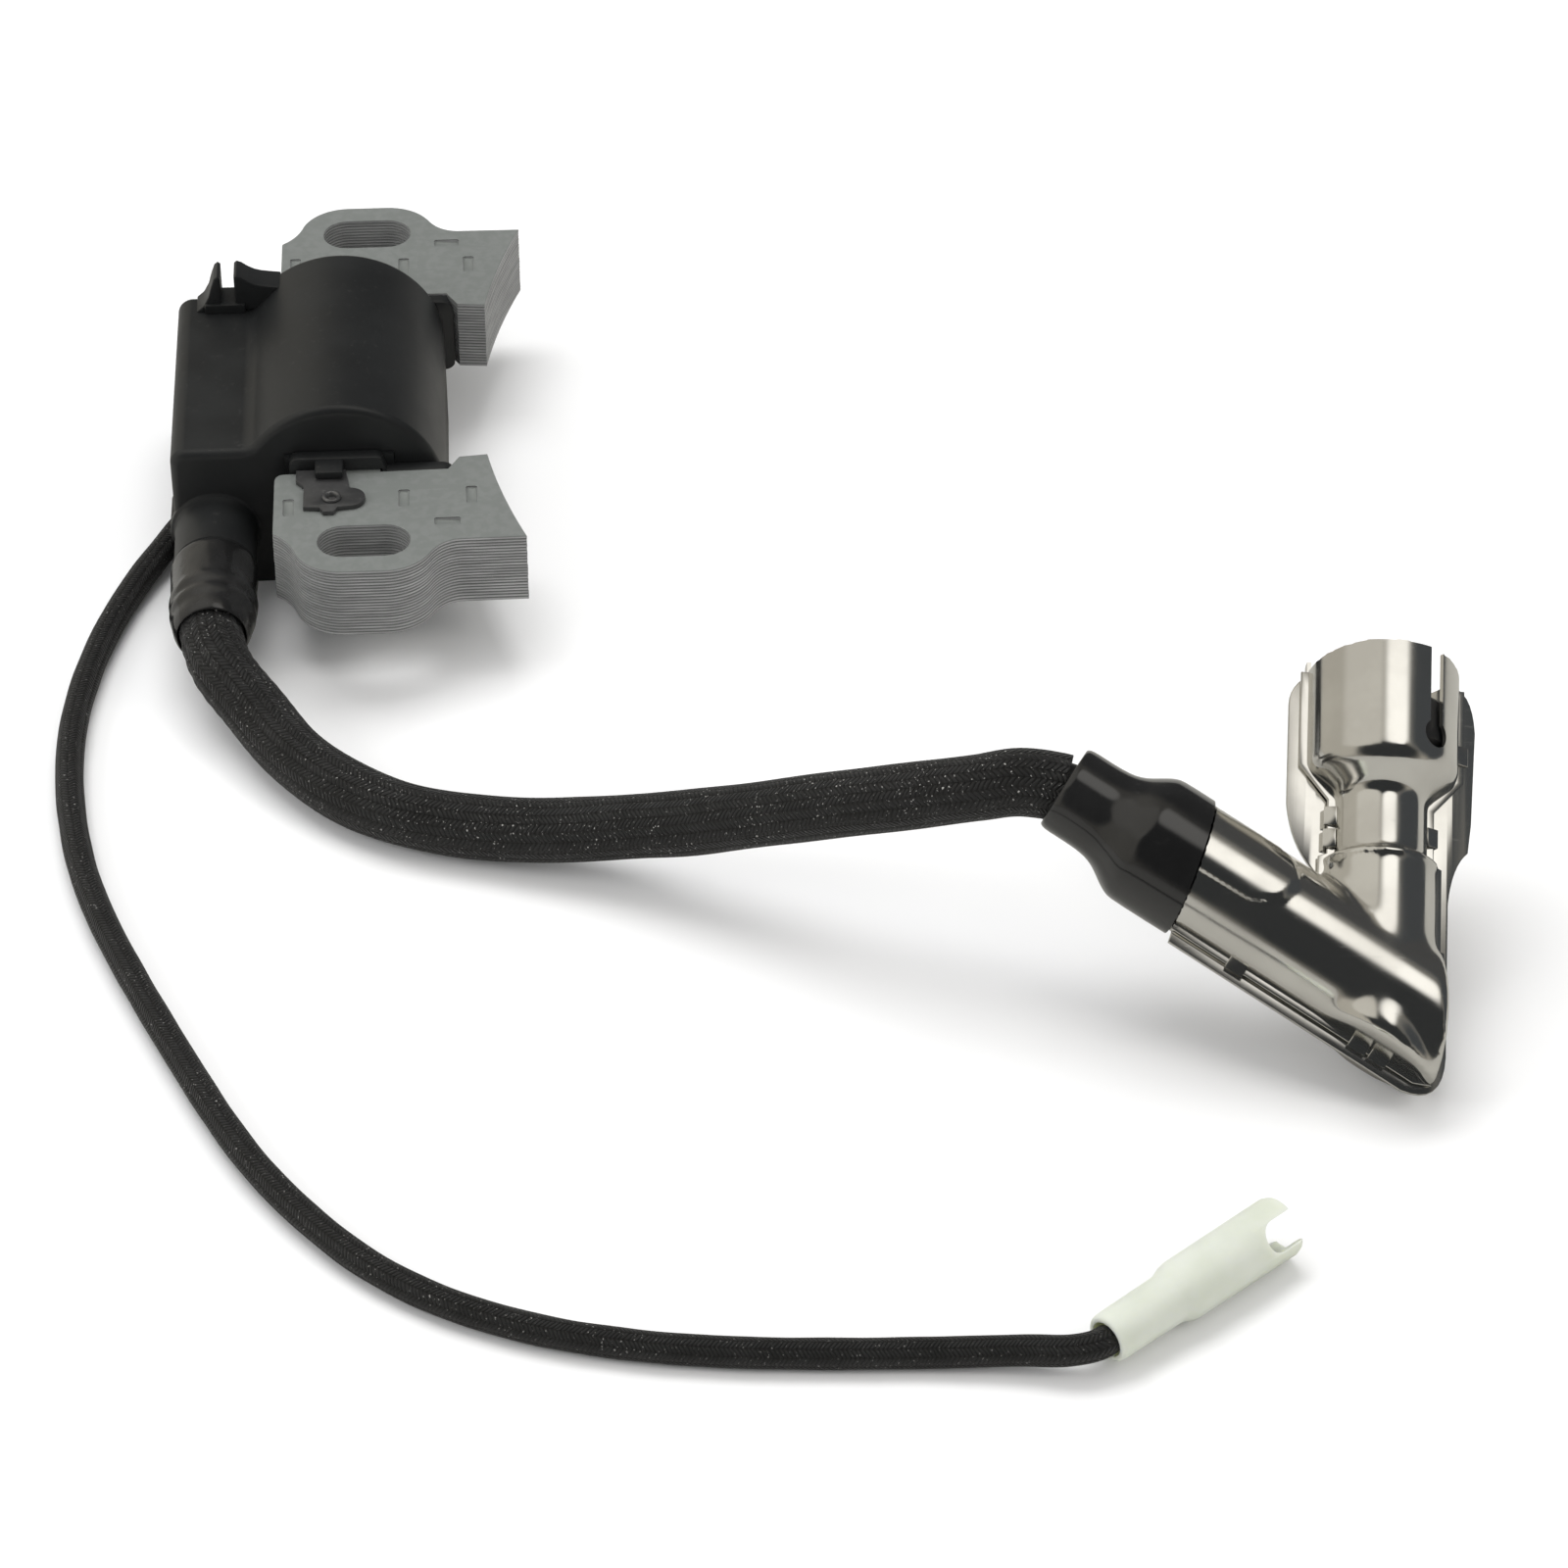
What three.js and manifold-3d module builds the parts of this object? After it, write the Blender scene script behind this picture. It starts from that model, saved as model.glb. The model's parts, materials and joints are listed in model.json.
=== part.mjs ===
// Flywheel-side ignition coil of a small four-stroke engine, with its plug lead, plug cap and stop wire.
// Millimetres. X points from the coil to the flywheel, Y runs along the winding, Z is up.
// The coil stands on its potted underside; the origin is under the middle of the coil itself.
import * as THREE from "three";
import { mergeVertices } from "three/addons/utils/BufferGeometryUtils.js";
import Module from "manifold-3d";

// ---------------------------------------------------------------- driving dimensions

const SHEET = 0.5; // thickness of one core lamination
const SHEETS = 22;
const CORE_LOW = 9.5; // underside of the core
const CORE_TOP = CORE_LOW + SHEET * SHEETS;
const AXIS_X = -3.5; // winding axis, which is also the middle of the core's crossbar
const AXIS_Z = CORE_LOW + (SHEET * SHEETS) / 2;
const BAR_HALF = 5.75; // half width of the crossbar
const LEG_IN = 22.25; // inner edge of each leg
const LEG_OUT = 38.6; // outer edge of each leg beside its mounting lug
const LEG_BACK = -12.7;
const SLOT_Y = 38.5; // mounting slots for M6 screws
const SLOT_RUN = 5.8; // distance between the two end centres of a slot
const SLOT_R = 3.6;
const LUG_R = 7.1;
const POLE_IN = 18.8; // pole tip, inner corner
const POLE_IN_X = 17.4;
const POLE_OUT_X = 22.7;
const FLYWHEEL_R = 100;

const CASE_R = 14.8; // round part of the moulded case
const CASE_HALF = 19.8; // half length of the case along Y
const CASE_WALL = 1.8;
const BOX_LEFT = -27.5;
const BOX_TOP = 22.9;
const TOWER_X = -21.6; // high-tension outlet
const TOWER_Z = 9.3;
const TOWER_R = 5.86;
const TOWER_NECK_R = 5.3;
const TOWER_END = -38;
const RESIN_TOP = 2.0; // potting compound, from just inside the rim
const RESIN_LOW = 0.4;

const LEAD_R = 3.5; // 7 mm plug lead
const SLEEVE_R = 4.5; // braided sleeve over it
const SLEEVE_BORE = 4.0;
const WIRE_R = 1.1; // stop wire
const WIRE_SLEEVE_R = 2.0;
const WIRE_SLEEVE_BORE = 1.6;
const GROMMET_OUT = 1.2; // how far the stop wire's grommet stands out of the case

const CAP_ANGLE = 62; // degrees between the cap's plug arm and its lead arm
const CUP_R = 10.1;
const NECK_R = 6.2;
const ELBOW_R = 7.3;
const ARM_R = 8.1;
const PLATE = 0.6; // sheet steel of the shield
const GAP = 0.3; // clearance between neighbouring pieces

const turn = THREE.MathUtils.degToRad;
const ORIGIN_SHIFT = new THREE.Vector3(-(BOX_LEFT - GROMMET_OUT + POLE_OUT_X) / 2, 0, 0);

// ---------------------------------------------------------------- finishes

function finish(colour, roughness, metalness) {
  return new THREE.MeshStandardMaterial({ color: colour, roughness, metalness });
}

const STEEL_SHEET = finish(0x8b9089, 0.45, 0.8);
const BLACK_PLASTIC = finish(0x26292b, 0.5, 0);
const RESIN = finish(0x15181a, 0.25, 0);
const COPPER = finish(0xa8572c, 0.35, 1);
const WHITE_NYLON = finish(0xdfe2d5, 0.45, 0);
const BOARD_GREEN = finish(0x1d5a37, 0.5, 0);
const DARK_TAB = finish(0x4c504e, 0.45, 0.8);
const BRIGHT_STEEL = finish(0xd2d2cc, 0.15, 1);
const BRASS = finish(0xb8924a, 0.3, 1);
const RUBBER = finish(0x141516, 0.3, 0);
const BRAID = finish(0x232425, 0.85, 0);
const BAKELITE = finish(0x2a1d17, 0.4, 0);
const CERAMIC = finish(0xcfc8b8, 0.4, 0);

// ---------------------------------------------------------------- solids and booleans

const wasm = await Module();
wasm.setup();

function solidOf(geometry) {
  const bare = new THREE.BufferGeometry();
  const flat = geometry.index ? geometry.toNonIndexed() : geometry;
  bare.setAttribute("position", flat.getAttribute("position"));
  const merged = mergeVertices(bare, 1e-4);
  const made = new wasm.Mesh({
    numProp: 3,
    vertProperties: merged.attributes.position.array,
    triVerts: new Uint32Array(merged.index.array),
  });
  return new wasm.Manifold(made);
}

function geometryOf(solid) {
  const made = solid.getMesh();
  const geometry = new THREE.BufferGeometry();
  geometry.setAttribute("position", new THREE.BufferAttribute(made.vertProperties, 3));
  geometry.setIndex(new THREE.BufferAttribute(made.triVerts, 1));
  return geometry;
}

function join(first, ...others) {
  return geometryOf(others.reduce((sum, g) => sum.add(solidOf(g)), solidOf(first)));
}

function cut(first, ...others) {
  return geometryOf(others.reduce((rest, g) => rest.subtract(solidOf(g)), solidOf(first)));
}

function common(first, second) {
  return geometryOf(solidOf(first).intersect(solidOf(second)));
}

function block(x0, x1, y0, y1, z0, z1) {
  const geometry = new THREE.BoxGeometry(x1 - x0, y1 - y0, z1 - z0);
  return geometry.translate((x0 + x1) / 2, (y0 + y1) / 2, (z0 + z1) / 2);
}

// A flat outline in X and Y, raised from z0 to z1.
function plate(shape, z0, z1, curveSegments = 4) {
  const options = { depth: z1 - z0, bevelEnabled: false, curveSegments };
  return new THREE.ExtrudeGeometry(shape, options).translate(0, 0, z0);
}

// A flat outline in X and Z, pushed from y0 to y1.
function slabAlongY(shape, y0, y1, curveSegments = 8) {
  const options = { depth: y1 - y0, bevelEnabled: false, curveSegments };
  return new THREE.ExtrudeGeometry(shape, options).rotateX(Math.PI / 2).translate(0, y1, 0);
}

// A turned piece along +X from a list of [position, radius] pairs that runs from end to end.
function turned(profile, segments = 24) {
  const points = profile.map(([along, radius]) => new THREE.Vector2(radius, along));
  points.unshift(new THREE.Vector2(0, profile[0][0]));
  points.push(new THREE.Vector2(0, profile.at(-1)[0]));
  return new THREE.LatheGeometry(points, segments).rotateZ(-Math.PI / 2);
}

function rod(from, to, radius, segments = 16) {
  return turned([[from, radius], [to, radius]], segments);
}

function ring(from, to, outer, inner, segments = 16) {
  return cut(rod(from, to, outer, segments), rod(from - 1, to + 1, inner, segments));
}

function alongY(geometry, x, z) {
  return geometry.rotateZ(Math.PI / 2).translate(x, 0, z);
}

function roundedBox(x0, x1, z0, z1, radius) {
  const shape = new THREE.Shape();
  shape.moveTo(x0 + radius, z0);
  shape.lineTo(x1 - radius, z0);
  shape.absarc(x1 - radius, z0 + radius, radius, -Math.PI / 2, 0, false);
  shape.absarc(x1 - radius, z1 - radius, radius, 0, Math.PI / 2, false);
  shape.absarc(x0 + radius, z1 - radius, radius, Math.PI / 2, Math.PI, false);
  shape.absarc(x0 + radius, z0 + radius, radius, Math.PI, 1.5 * Math.PI, false);
  return shape;
}

function circle(radius, sides) {
  const shape = new THREE.Shape();
  for (let i = 0; i < sides; i++) {
    const angle = (2 * Math.PI * i) / sides;
    if (i) shape.lineTo(radius * Math.cos(angle), radius * Math.sin(angle));
    else shape.moveTo(radius, 0);
  }
  shape.closePath();
  return shape;
}

function named(name, geometry, material) {
  const mesh = new THREE.Mesh(geometry, material);
  mesh.name = name;
  return mesh;
}

// ---------------------------------------------------------------- laminated core

// One half of a lamination's outline, drawn for the leg at +Y; side is 1 or -1.
function legPoints() {
  const points = [new THREE.Vector2(AXIS_X + BAR_HALF, LEG_IN)];
  const path = new THREE.Path();
  path.moveTo(AXIS_X + BAR_HALF, LEG_IN);
  path.lineTo(11.8, LEG_IN - 0.2);
  path.lineTo(13.4, POLE_IN + 0.4);
  path.lineTo(POLE_IN_X, POLE_IN);
  points.push(...path.getPoints().slice(1));
  const steps = 4;
  const sag = 0.5;
  for (let i = 1; i <= steps; i++) {
    const t = i / steps;
    const bow = (4 * sag * t * (1 - t) * 100) / FLYWHEEL_R;
    const x = POLE_IN_X + (POLE_OUT_X - POLE_IN_X) * t - bow;
    points.push(new THREE.Vector2(x, POLE_IN + (LEG_OUT - POLE_IN) * t));
  }
  const lug = new THREE.Path();
  lug.moveTo(13.5, LEG_OUT + 0.1);
  lug.quadraticCurveTo(10.6, 38.9, 9.05, 42.05);
  lug.absarc(SLOT_RUN / 2, SLOT_Y, LUG_R, Math.PI / 6, Math.PI / 2, false);
  lug.absarc(-SLOT_RUN / 2, SLOT_Y, LUG_R, Math.PI / 2, 0.92 * Math.PI, false);
  lug.quadraticCurveTo(-10.6, 37.9, LEG_BACK + 0.1, 36.4);
  points.push(...lug.getPoints(2));
  const corner = new THREE.Path();
  corner.moveTo(LEG_BACK, LEG_IN + 1.6);
  corner.quadraticCurveTo(LEG_BACK, LEG_IN, LEG_BACK + 1.6, LEG_IN);
  points.push(...corner.getPoints(2));
  points.push(new THREE.Vector2(AXIS_X - BAR_HALF, LEG_IN));
  return points;
}

function laminationShape() {
  const upper = legPoints();
  const lower = upper.map((p) => new THREE.Vector2(p.x, -p.y)).reverse();
  const outline = new THREE.Shape([...upper, ...lower]);
  for (const y of [SLOT_Y, -SLOT_Y]) {
    const slot = new THREE.Path();
    slot.absarc(SLOT_RUN / 2, y, SLOT_R, -Math.PI / 2, Math.PI / 2, false);
    slot.absarc(-SLOT_RUN / 2, y, SLOT_R, Math.PI / 2, 1.5 * Math.PI, false);
    outline.holes.push(slot);
  }
  return outline;
}

function core() {
  const group = new THREE.Group();
  const sheet = solidOf(plate(laminationShape(), 0, SHEET, 2));
  for (let i = 0; i < SHEETS; i++) {
    const name = "lamination_" + String(i + 1).padStart(2, "0");
    const mesh = named(name, geometryOf(sheet), STEEL_SHEET);
    mesh.position.z = CORE_LOW + SHEET * i;
    group.add(mesh);
  }
  return group;
}

// The coil's earth tag: a sheet strip from the winding, riveted on top of the near leg.
function groundTab() {
  const thick = 0.75;
  const shape = new THREE.Shape();
  shape.moveTo(-9.6, -LEG_IN - 0.2);
  shape.lineTo(-9.6, -24.8);
  shape.lineTo(-8.5, -26.2);
  shape.lineTo(-8.5, -31.2);
  shape.lineTo(-6.2, -31.4);
  shape.lineTo(-5.7, -32.4);
  shape.lineTo(-4.2, -32.4);
  shape.lineTo(-3.7, -31.4);
  shape.lineTo(-2.0, -31.2);
  shape.absarc(-2.0, -29.0, 2.2, -Math.PI / 2, Math.PI / 2, false);
  shape.lineTo(-2.6, -LEG_IN - 0.2);
  const tag = plate(shape, CORE_TOP, CORE_TOP + thick);
  const hole = plate(circle(1.5, 12), CORE_TOP - 1, CORE_TOP + 2).translate(-4.5, -29.2, 0);
  const rivet = turned([[0, 1.2], [thick + 0.1, 1.2], [thick + 0.1, 2.1], [thick + 0.7, 1.8]], 12);
  rivet.rotateY(-Math.PI / 2).translate(-4.5, -29.2, CORE_TOP);
  const eye = turned([[thick - 0.3, 0.9], [thick + 2, 0.9]], 12);
  eye.rotateY(-Math.PI / 2).translate(-4.5, -29.2, CORE_TOP);
  const group = new THREE.Group();
  group.add(named("ground_tab", cut(tag, hole), DARK_TAB));
  group.add(named("ground_rivet", cut(rivet, eye), BRIGHT_STEEL));
  return group;
}

// ---------------------------------------------------------------- moulded case

// Section of the case across the winding: round on top, straight sides down to the open underside.
function caseSection(wall, floor) {
  const radius = CASE_R - wall;
  const left = BOX_LEFT + wall;
  const top = BOX_TOP - wall;
  const meet = Math.asin((top - AXIS_Z) / radius);
  const corner = Math.max(2.2 - wall, 0.4);
  const shape = new THREE.Shape();
  shape.moveTo(left, floor);
  shape.lineTo(AXIS_X + radius, floor);
  shape.lineTo(AXIS_X + radius, AXIS_Z);
  shape.absarc(AXIS_X, AXIS_Z, radius, 0, Math.PI - meet, false);
  shape.lineTo(left + corner, top);
  shape.absarc(left + corner, top - corner, corner, Math.PI / 2, Math.PI, false);
  return shape;
}

function caseShell() {
  const outside = slabAlongY(caseSection(0, 0), -CASE_HALF, CASE_HALF, 10);
  const half = CASE_HALF - CASE_WALL;
  const inside = slabAlongY(caseSection(CASE_WALL, -1), -half, half, 10);
  const tower = join(
    alongY(rod(TOWER_END, -24, TOWER_NECK_R, 20), TOWER_X, TOWER_Z),
    alongY(rod(-29.5, -CASE_HALF + 1, TOWER_R, 20), TOWER_X, TOWER_Z),
  );
  const bore = alongY(rod(TOWER_END - 1, -half + 1, LEAD_R + 0.4, 16), TOWER_X, TOWER_Z);
  const window = block(AXIS_X - 8.1, AXIS_X + 8.1, -30, 30, AXIS_Z - 7.9, AXIS_Z + 7.9);
  const notch = block(BOX_LEFT - 1, BOX_LEFT + 3, -15.5, -5.5, -1, 6.4);
  const clipFoot = block(-22.6, -14.2, 14.4, CASE_HALF, BOX_TOP - 1, BOX_TOP + 2.2);
  const prongLeft = block(-22.6, -20.9, 15.4, CASE_HALF, BOX_TOP, BOX_TOP + 6.2);
  const prongRight = block(-18.9, -16.6, 15.4, CASE_HALF, BOX_TOP, BOX_TOP + 6.2);
  const body = join(outside, tower, clipFoot, prongLeft, prongRight);
  const shell = cut(body, inside, bore, window, notch);
  return named("coil_case", shell, BLACK_PLASTIC);
}

function potting() {
  const half = CASE_HALF - CASE_WALL - GAP;
  const left = BOX_LEFT + CASE_WALL + GAP;
  const right = AXIS_X + CASE_R - CASE_WALL - GAP;
  const slab = block(left, right, -half, half, RESIN_LOW, RESIN_TOP);
  const wireRoom = block(left - 1, left + 6.5, -16, -1.5, RESIN_LOW - 1, RESIN_TOP + 1);
  return named("potting_resin", cut(slab, wireRoom), RESIN);
}

// ---------------------------------------------------------------- windings

function bobbins() {
  const group = new THREE.Group();
  const half = 16.8;
  const clear = 0.3;
  const barX = BAR_HALF + clear;
  const barZ = (SHEET * SHEETS) / 2 + clear;
  const wall = 1.0;
  const passage = block(AXIS_X - barX, AXIS_X + barX, -30, 30, AXIS_Z - barZ, AXIS_Z + barZ);
  const tubeSection = roundedBox(
    AXIS_X - barX - wall, AXIS_X + barX + wall, AXIS_Z - barZ - wall, AXIS_Z + barZ + wall, 1,
  );
  const tube = slabAlongY(tubeSection, -half, half, 2);
  const cheekSection = roundedBox(AXIS_X - 8.6, AXIS_X + 8.6, AXIS_Z - 8.4, AXIS_Z + 8.4, 2.7);
  const cheeks = [-half, half - 1.2].map((y) => slabAlongY(cheekSection, y, y + 1.2, 2));
  group.add(named("primary_bobbin", cut(join(tube, ...cheeks), passage), WHITE_NYLON));
  const wound = slabAlongY(
    roundedBox(AXIS_X - 8.4, AXIS_X + 8.4, AXIS_Z - 8.2, AXIS_Z + 8.2, 2.4), -15.2, 15.2, 2,
  );
  const room = slabAlongY(
    roundedBox(
      AXIS_X - barX - wall - 0.15, AXIS_X + barX + wall + 0.15,
      AXIS_Z - barZ - wall - 0.15, AXIS_Z + barZ + wall + 0.15, 1,
    ), -30, 30, 2,
  );
  group.add(named("primary_winding", cut(wound, room), COPPER));
  return group;
}

function secondary() {
  const group = new THREE.Group();
  const sections = 5;
  const rib = 0.8;
  const half = 16.6;
  const pitch = (2 * half - rib) / sections;
  const inner = 11.35;
  const root = 11.75;
  const former = [alongY(rod(-half, half, root, 16), AXIS_X, AXIS_Z)];
  for (let i = 0; i <= sections; i++) {
    const y = -half + pitch * i;
    former.push(alongY(rod(y, y + rib, 12.7, 16), AXIS_X, AXIS_Z));
  }
  const bore = alongY(rod(-30, 30, inner, 16), AXIS_X, AXIS_Z);
  group.add(named("secondary_bobbin", cut(join(...former), bore), BLACK_PLASTIC));
  for (let i = 0; i < sections; i++) {
    const y = -half + pitch * i + rib + 0.15;
    const wound = alongY(ring(y, y + pitch - rib - GAP, 12.5, root + 0.15, 16), AXIS_X, AXIS_Z);
    group.add(named("secondary_winding_" + (i + 1), wound, COPPER));
  }
  return group;
}

// Moulded end collars that hold the winding tube between the case and each leg.
function endCollar(side) {
  const shape = new THREE.Shape();
  const top = CORE_TOP - 0.1;
  shape.moveTo(-10.6, 8.2);
  shape.lineTo(11.2, 8.2);
  shape.quadraticCurveTo(12.9, 8.4, 12.9, 10.4);
  shape.lineTo(12.9, top - 2);
  shape.quadraticCurveTo(12.8, top, 10.6, top);
  shape.lineTo(3.2, top);
  shape.lineTo(2.6, 22.2);
  shape.quadraticCurveTo(2.4, 22.8, 1.4, 22.8);
  shape.lineTo(-9.4, 22.8);
  shape.quadraticCurveTo(-10.6, 22.7, -10.6, 21.4);
  const outer = LEG_IN - 0.25;
  const inner = CASE_HALF + 0.15;
  const [y0, y1] = side > 0 ? [inner, outer] : [-outer, -inner];
  const solids = [slabAlongY(shape, y0, y1, 3)];
  if (side < 0) solids.push(block(-6.9, -2.9, -25.0, -outer + 0.5, 21.4, 22.6));
  const barX = BAR_HALF + 0.3;
  const barZ = (SHEET * SHEETS) / 2 + 0.3;
  const spigot = block(
    AXIS_X - 7.7, AXIS_X + 7.7,
    side > 0 ? CASE_HALF - CASE_WALL - 0.3 : -inner - 0.5,
    side > 0 ? inner + 0.5 : -CASE_HALF + CASE_WALL + 0.3,
    AXIS_Z - 7.2, AXIS_Z + 7.2,
  );
  const passage = block(AXIS_X - barX, AXIS_X + barX, -30, 30, AXIS_Z - barZ, AXIS_Z + barZ);
  const tip = new THREE.Shape();
  tip.moveTo(11.4, side * 22.6);
  tip.lineTo(13.2, side * 18.9);
  tip.lineTo(20, side * 18.9);
  tip.lineTo(20, side * 22.6);
  const name = side > 0 ? "end_collar_far" : "end_collar_near";
  return named(name, cut(join(...solids, spigot), passage, plate(tip, 0, 40)), BLACK_PLASTIC);
}

// ---------------------------------------------------------------- switching electronics

function electronics() {
  const group = new THREE.Group();
  const boardX = -19.4;
  const board = block(boardX, boardX + 1.2, -2.5, 16.5, 4.6, 20.2);
  group.add(named("circuit_board", board, BOARD_GREEN));
  const body = block(boardX - 4.8, boardX - 0.3, 1.5, 11.5, 8.5, 18.5);
  group.add(named("switching_transistor", body, BLACK_PLASTIC));
  const resistor = alongY(rod(12.6, 16.4, 1.2, 10), boardX - 2.0, 12);
  group.add(named("bias_resistor", resistor, CERAMIC));
  const pin = turned([[-27.4, 0.4], [-25.5, 1.1], [-18.6, 1.1], [-18.6, 2.4], [-17.2, 2.4]], 12);
  group.add(named("ht_terminal", alongY(pin, TOWER_X, TOWER_Z), BRASS));
  return group;
}

// ---------------------------------------------------------------- plug lead and stop wire

// The plug lead's centre line, from inside the outlet to inside the cap.
const LEAD_ROUTE = [
  [-21.6, -28.2, 9.3], [-21.6, -36.0, 9.3], [-21.6, -44.5, 9.2], [-20.0, -50.6, 8.2],
  [-15.6, -57.4, 6.3], [-10.1, -66.1, 4.9], [-3.3, -73.6, 4.52], [3.3, -78.4, 4.52],
  [9.9, -81.3, 4.6], [16.5, -83.4, 5.0], [23.1, -85.3, 5.9], [29.7, -87.2, 7.4],
  [36.2, -89.5, 9.5], [42.7, -92.3, 12.1], [49.1, -95.0, 15.0], [55.4, -97.7, 18.0],
  [61.7, -100.5, 21.1], [67.9, -103.2, 24.0], [74.0, -105.4, 26.5], [80.0, -107.3, 28.8],
  [85.6, -108.2, 30.2], [91.8, -109.4, 29.4], [95.4, -111.3, 27.7], [101.2, -114.3, 25.0],
  [110.2, -119.0, 20.8], [118.7, -123.4, 16.8],
];

// The stop wire's centre line, from inside the case to the push-on connector.
const WIRE_ROUTE = [
  [-24.6, -5.8, 3.2], [-27.0, -9.9, 3.2], [-29.6, -14.4, 2.6], [-33.0, -21.2, 2.1],
  [-36.9, -32.3, 2.05], [-39.5, -43.4, 2.05], [-40.9, -54.4, 2.05], [-41.0, -65.1, 2.05],
  [-40.0, -75.8, 2.05], [-38.1, -86.2, 2.05], [-35.1, -96.4, 2.05], [-31.3, -106.5, 2.05],
  [-27.2, -116.4, 2.05], [-23.0, -126.1, 2.05], [-18.7, -135.6, 2.05], [-13.8, -145.0, 2.05],
  [-7.6, -154.2, 2.05], [0.4, -163.4, 2.05], [9.5, -170.4, 2.05], [21.0, -175.9, 2.05],
  [33.2, -179.3, 2.05], [45.0, -181.1, 2.05], [57.0, -182.0, 2.05], [69.0, -182.6, 2.2],
  [80.0, -183.6, 3.0], [85.5, -184.6, 3.7], [89.0, -184.15, 4.08], [91.6, -182.13, 4.12],
  [94.5, -179.82, 4.12],
];

function curveThrough(points) {
  return new THREE.CatmullRomCurve3(points.map((p) => new THREE.Vector3(...p)), false, "centripetal");
}

const LEAD_LINE = curveThrough(LEAD_ROUTE);
const WIRE_LINE = curveThrough(WIRE_ROUTE);
const LEAD_STEP = LEAD_LINE.getLength() / 37;
const WIRE_STEP = WIRE_LINE.getLength() / 40;

// Part of a route, between two whole numbers of steps along it.
class Stretch extends THREE.Curve {
  constructor(line, step, from, to) {
    super();
    this.line = line;
    this.from = (from * step) / line.getLength();
    this.to = (to * step) / line.getLength();
  }

  getPoint(t, target) {
    return this.line.getPointAt(this.from + (this.to - this.from) * t, target);
  }
}

// A round tube along a stretch of a route; bore 0 makes it solid.
function cable(stretch, steps, radius, bore, sides) {
  const section = circle(radius, sides);
  if (bore) section.holes.push(circle(bore, sides));
  const options = { steps, extrudePath: stretch, bevelEnabled: false };
  return new THREE.ExtrudeGeometry(section, options);
}

function plugLead() {
  const group = new THREE.Group();
  const lead = cable(new Stretch(LEAD_LINE, LEAD_STEP, 0, 37), 37, LEAD_R, 0, 10);
  group.add(named("plug_lead", lead, RUBBER));
  const braid = cable(new Stretch(LEAD_LINE, LEAD_STEP, 2, 30), 28, SLEEVE_R, SLEEVE_BORE, 10);
  group.add(named("lead_sleeve", braid, BRAID));
  const shrink = turned([[-44.8, 5.4], [-43.2, 5.9], [-40.2, 6.2], [-29.8, 6.2]], 20);
  const overTower = alongY(rod(-38.4, -20, TOWER_NECK_R + GAP, 20), TOWER_X, TOWER_Z);
  const overSleeve = alongY(rod(-60, -38, SLEEVE_R + 0.35, 20), TOWER_X, TOWER_Z);
  const tube = cut(alongY(shrink, TOWER_X, TOWER_Z), overTower, overSleeve);
  group.add(named("heat_shrink", tube, RUBBER));
  return group;
}

function stopWire() {
  const group = new THREE.Group();
  const wire = cable(new Stretch(WIRE_LINE, WIRE_STEP, 0, 40), 40, WIRE_R, 0, 8);
  group.add(named("stop_wire", wire, RUBBER));
  const braid = cable(new Stretch(WIRE_LINE, WIRE_STEP, 0.5, 39), 40, WIRE_SLEEVE_R, WIRE_SLEEVE_BORE, 8);
  group.add(named("wire_sleeve", braid, BRAID));
  return group;
}

// Rubber grommet potted into the rim of the case, where the stop wire comes out at a slant.
function grommet() {
  const low = 0.4;
  const body = block(BOX_LEFT - GROMMET_OUT, BOX_LEFT + CASE_WALL + 0.6, -15.2, -5.8, low, 6.1);
  const bore = cable(new Stretch(WIRE_LINE, WIRE_STEP, 0, 3), 6, WIRE_SLEEVE_R + 0.35, 0, 12);
  return named("wire_grommet", cut(body, bore), RUBBER);
}

// Push-on connector of the stop wire: a nylon shell with a forked mouth and its brass receptacle.
function connector() {
  const group = new THREE.Group();
  const shell = turned([[0, 2.9], [0.5, 3.2], [10.6, 3.3], [12.6, 4.0], [29.6, 4.1], [30.2, 3.7]], 16);
  const throat = rod(-1, 12, 2.35, 12);
  const chamber = rod(10, 33, 3.1, 14);
  const fork = block(24.6, 33, -2.1, 2.1, -6, 6);
  const body = cut(shell, throat, chamber, fork);
  group.add(named("connector_shell", body, WHITE_NYLON));
  const receptacle = cut(
    turned([[5.6, 1.9], [12.8, 1.9], [13.4, 2.6], [23.4, 2.6]], 12),
    rod(4, 8.6, 1.45, 12), rod(14.6, 30, 2.05, 12),
  );
  group.add(named("connector_receptacle", receptacle, BRASS));
  group.rotation.order = "ZYX";
  group.rotation.set(turn(50), 0, turn(38.5));
  group.position.set(90.0, -183.4, 4.12);
  return group;
}

// ---------------------------------------------------------------- plug cap

const CAP_ELBOW = new THREE.Vector3(129.86, -129.22, 11.6);

function direction(heading, rise) {
  const flat = Math.cos(turn(rise));
  const x = flat * Math.cos(turn(heading));
  return new THREE.Vector3(x, flat * Math.sin(turn(heading)), Math.sin(turn(rise)));
}

const CUP_WAY = direction(83.2, 28.3);
const ARM_WAY = direction(152.5, 22.5);

// The cap's own frame: x to the plug, y to the lead side, z out of the near half-shell.
function capGroup() {
  const group = new THREE.Group();
  const z = new THREE.Vector3().crossVectors(CUP_WAY, ARM_WAY).normalize();
  const y = new THREE.Vector3().crossVectors(z, CUP_WAY);
  group.quaternion.setFromRotationMatrix(new THREE.Matrix4().makeBasis(CUP_WAY, y, z));
  group.position.copy(CAP_ELBOW);
  return group;
}

function onArm(geometry) {
  return geometry.rotateZ(turn(CAP_ANGLE));
}

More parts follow.
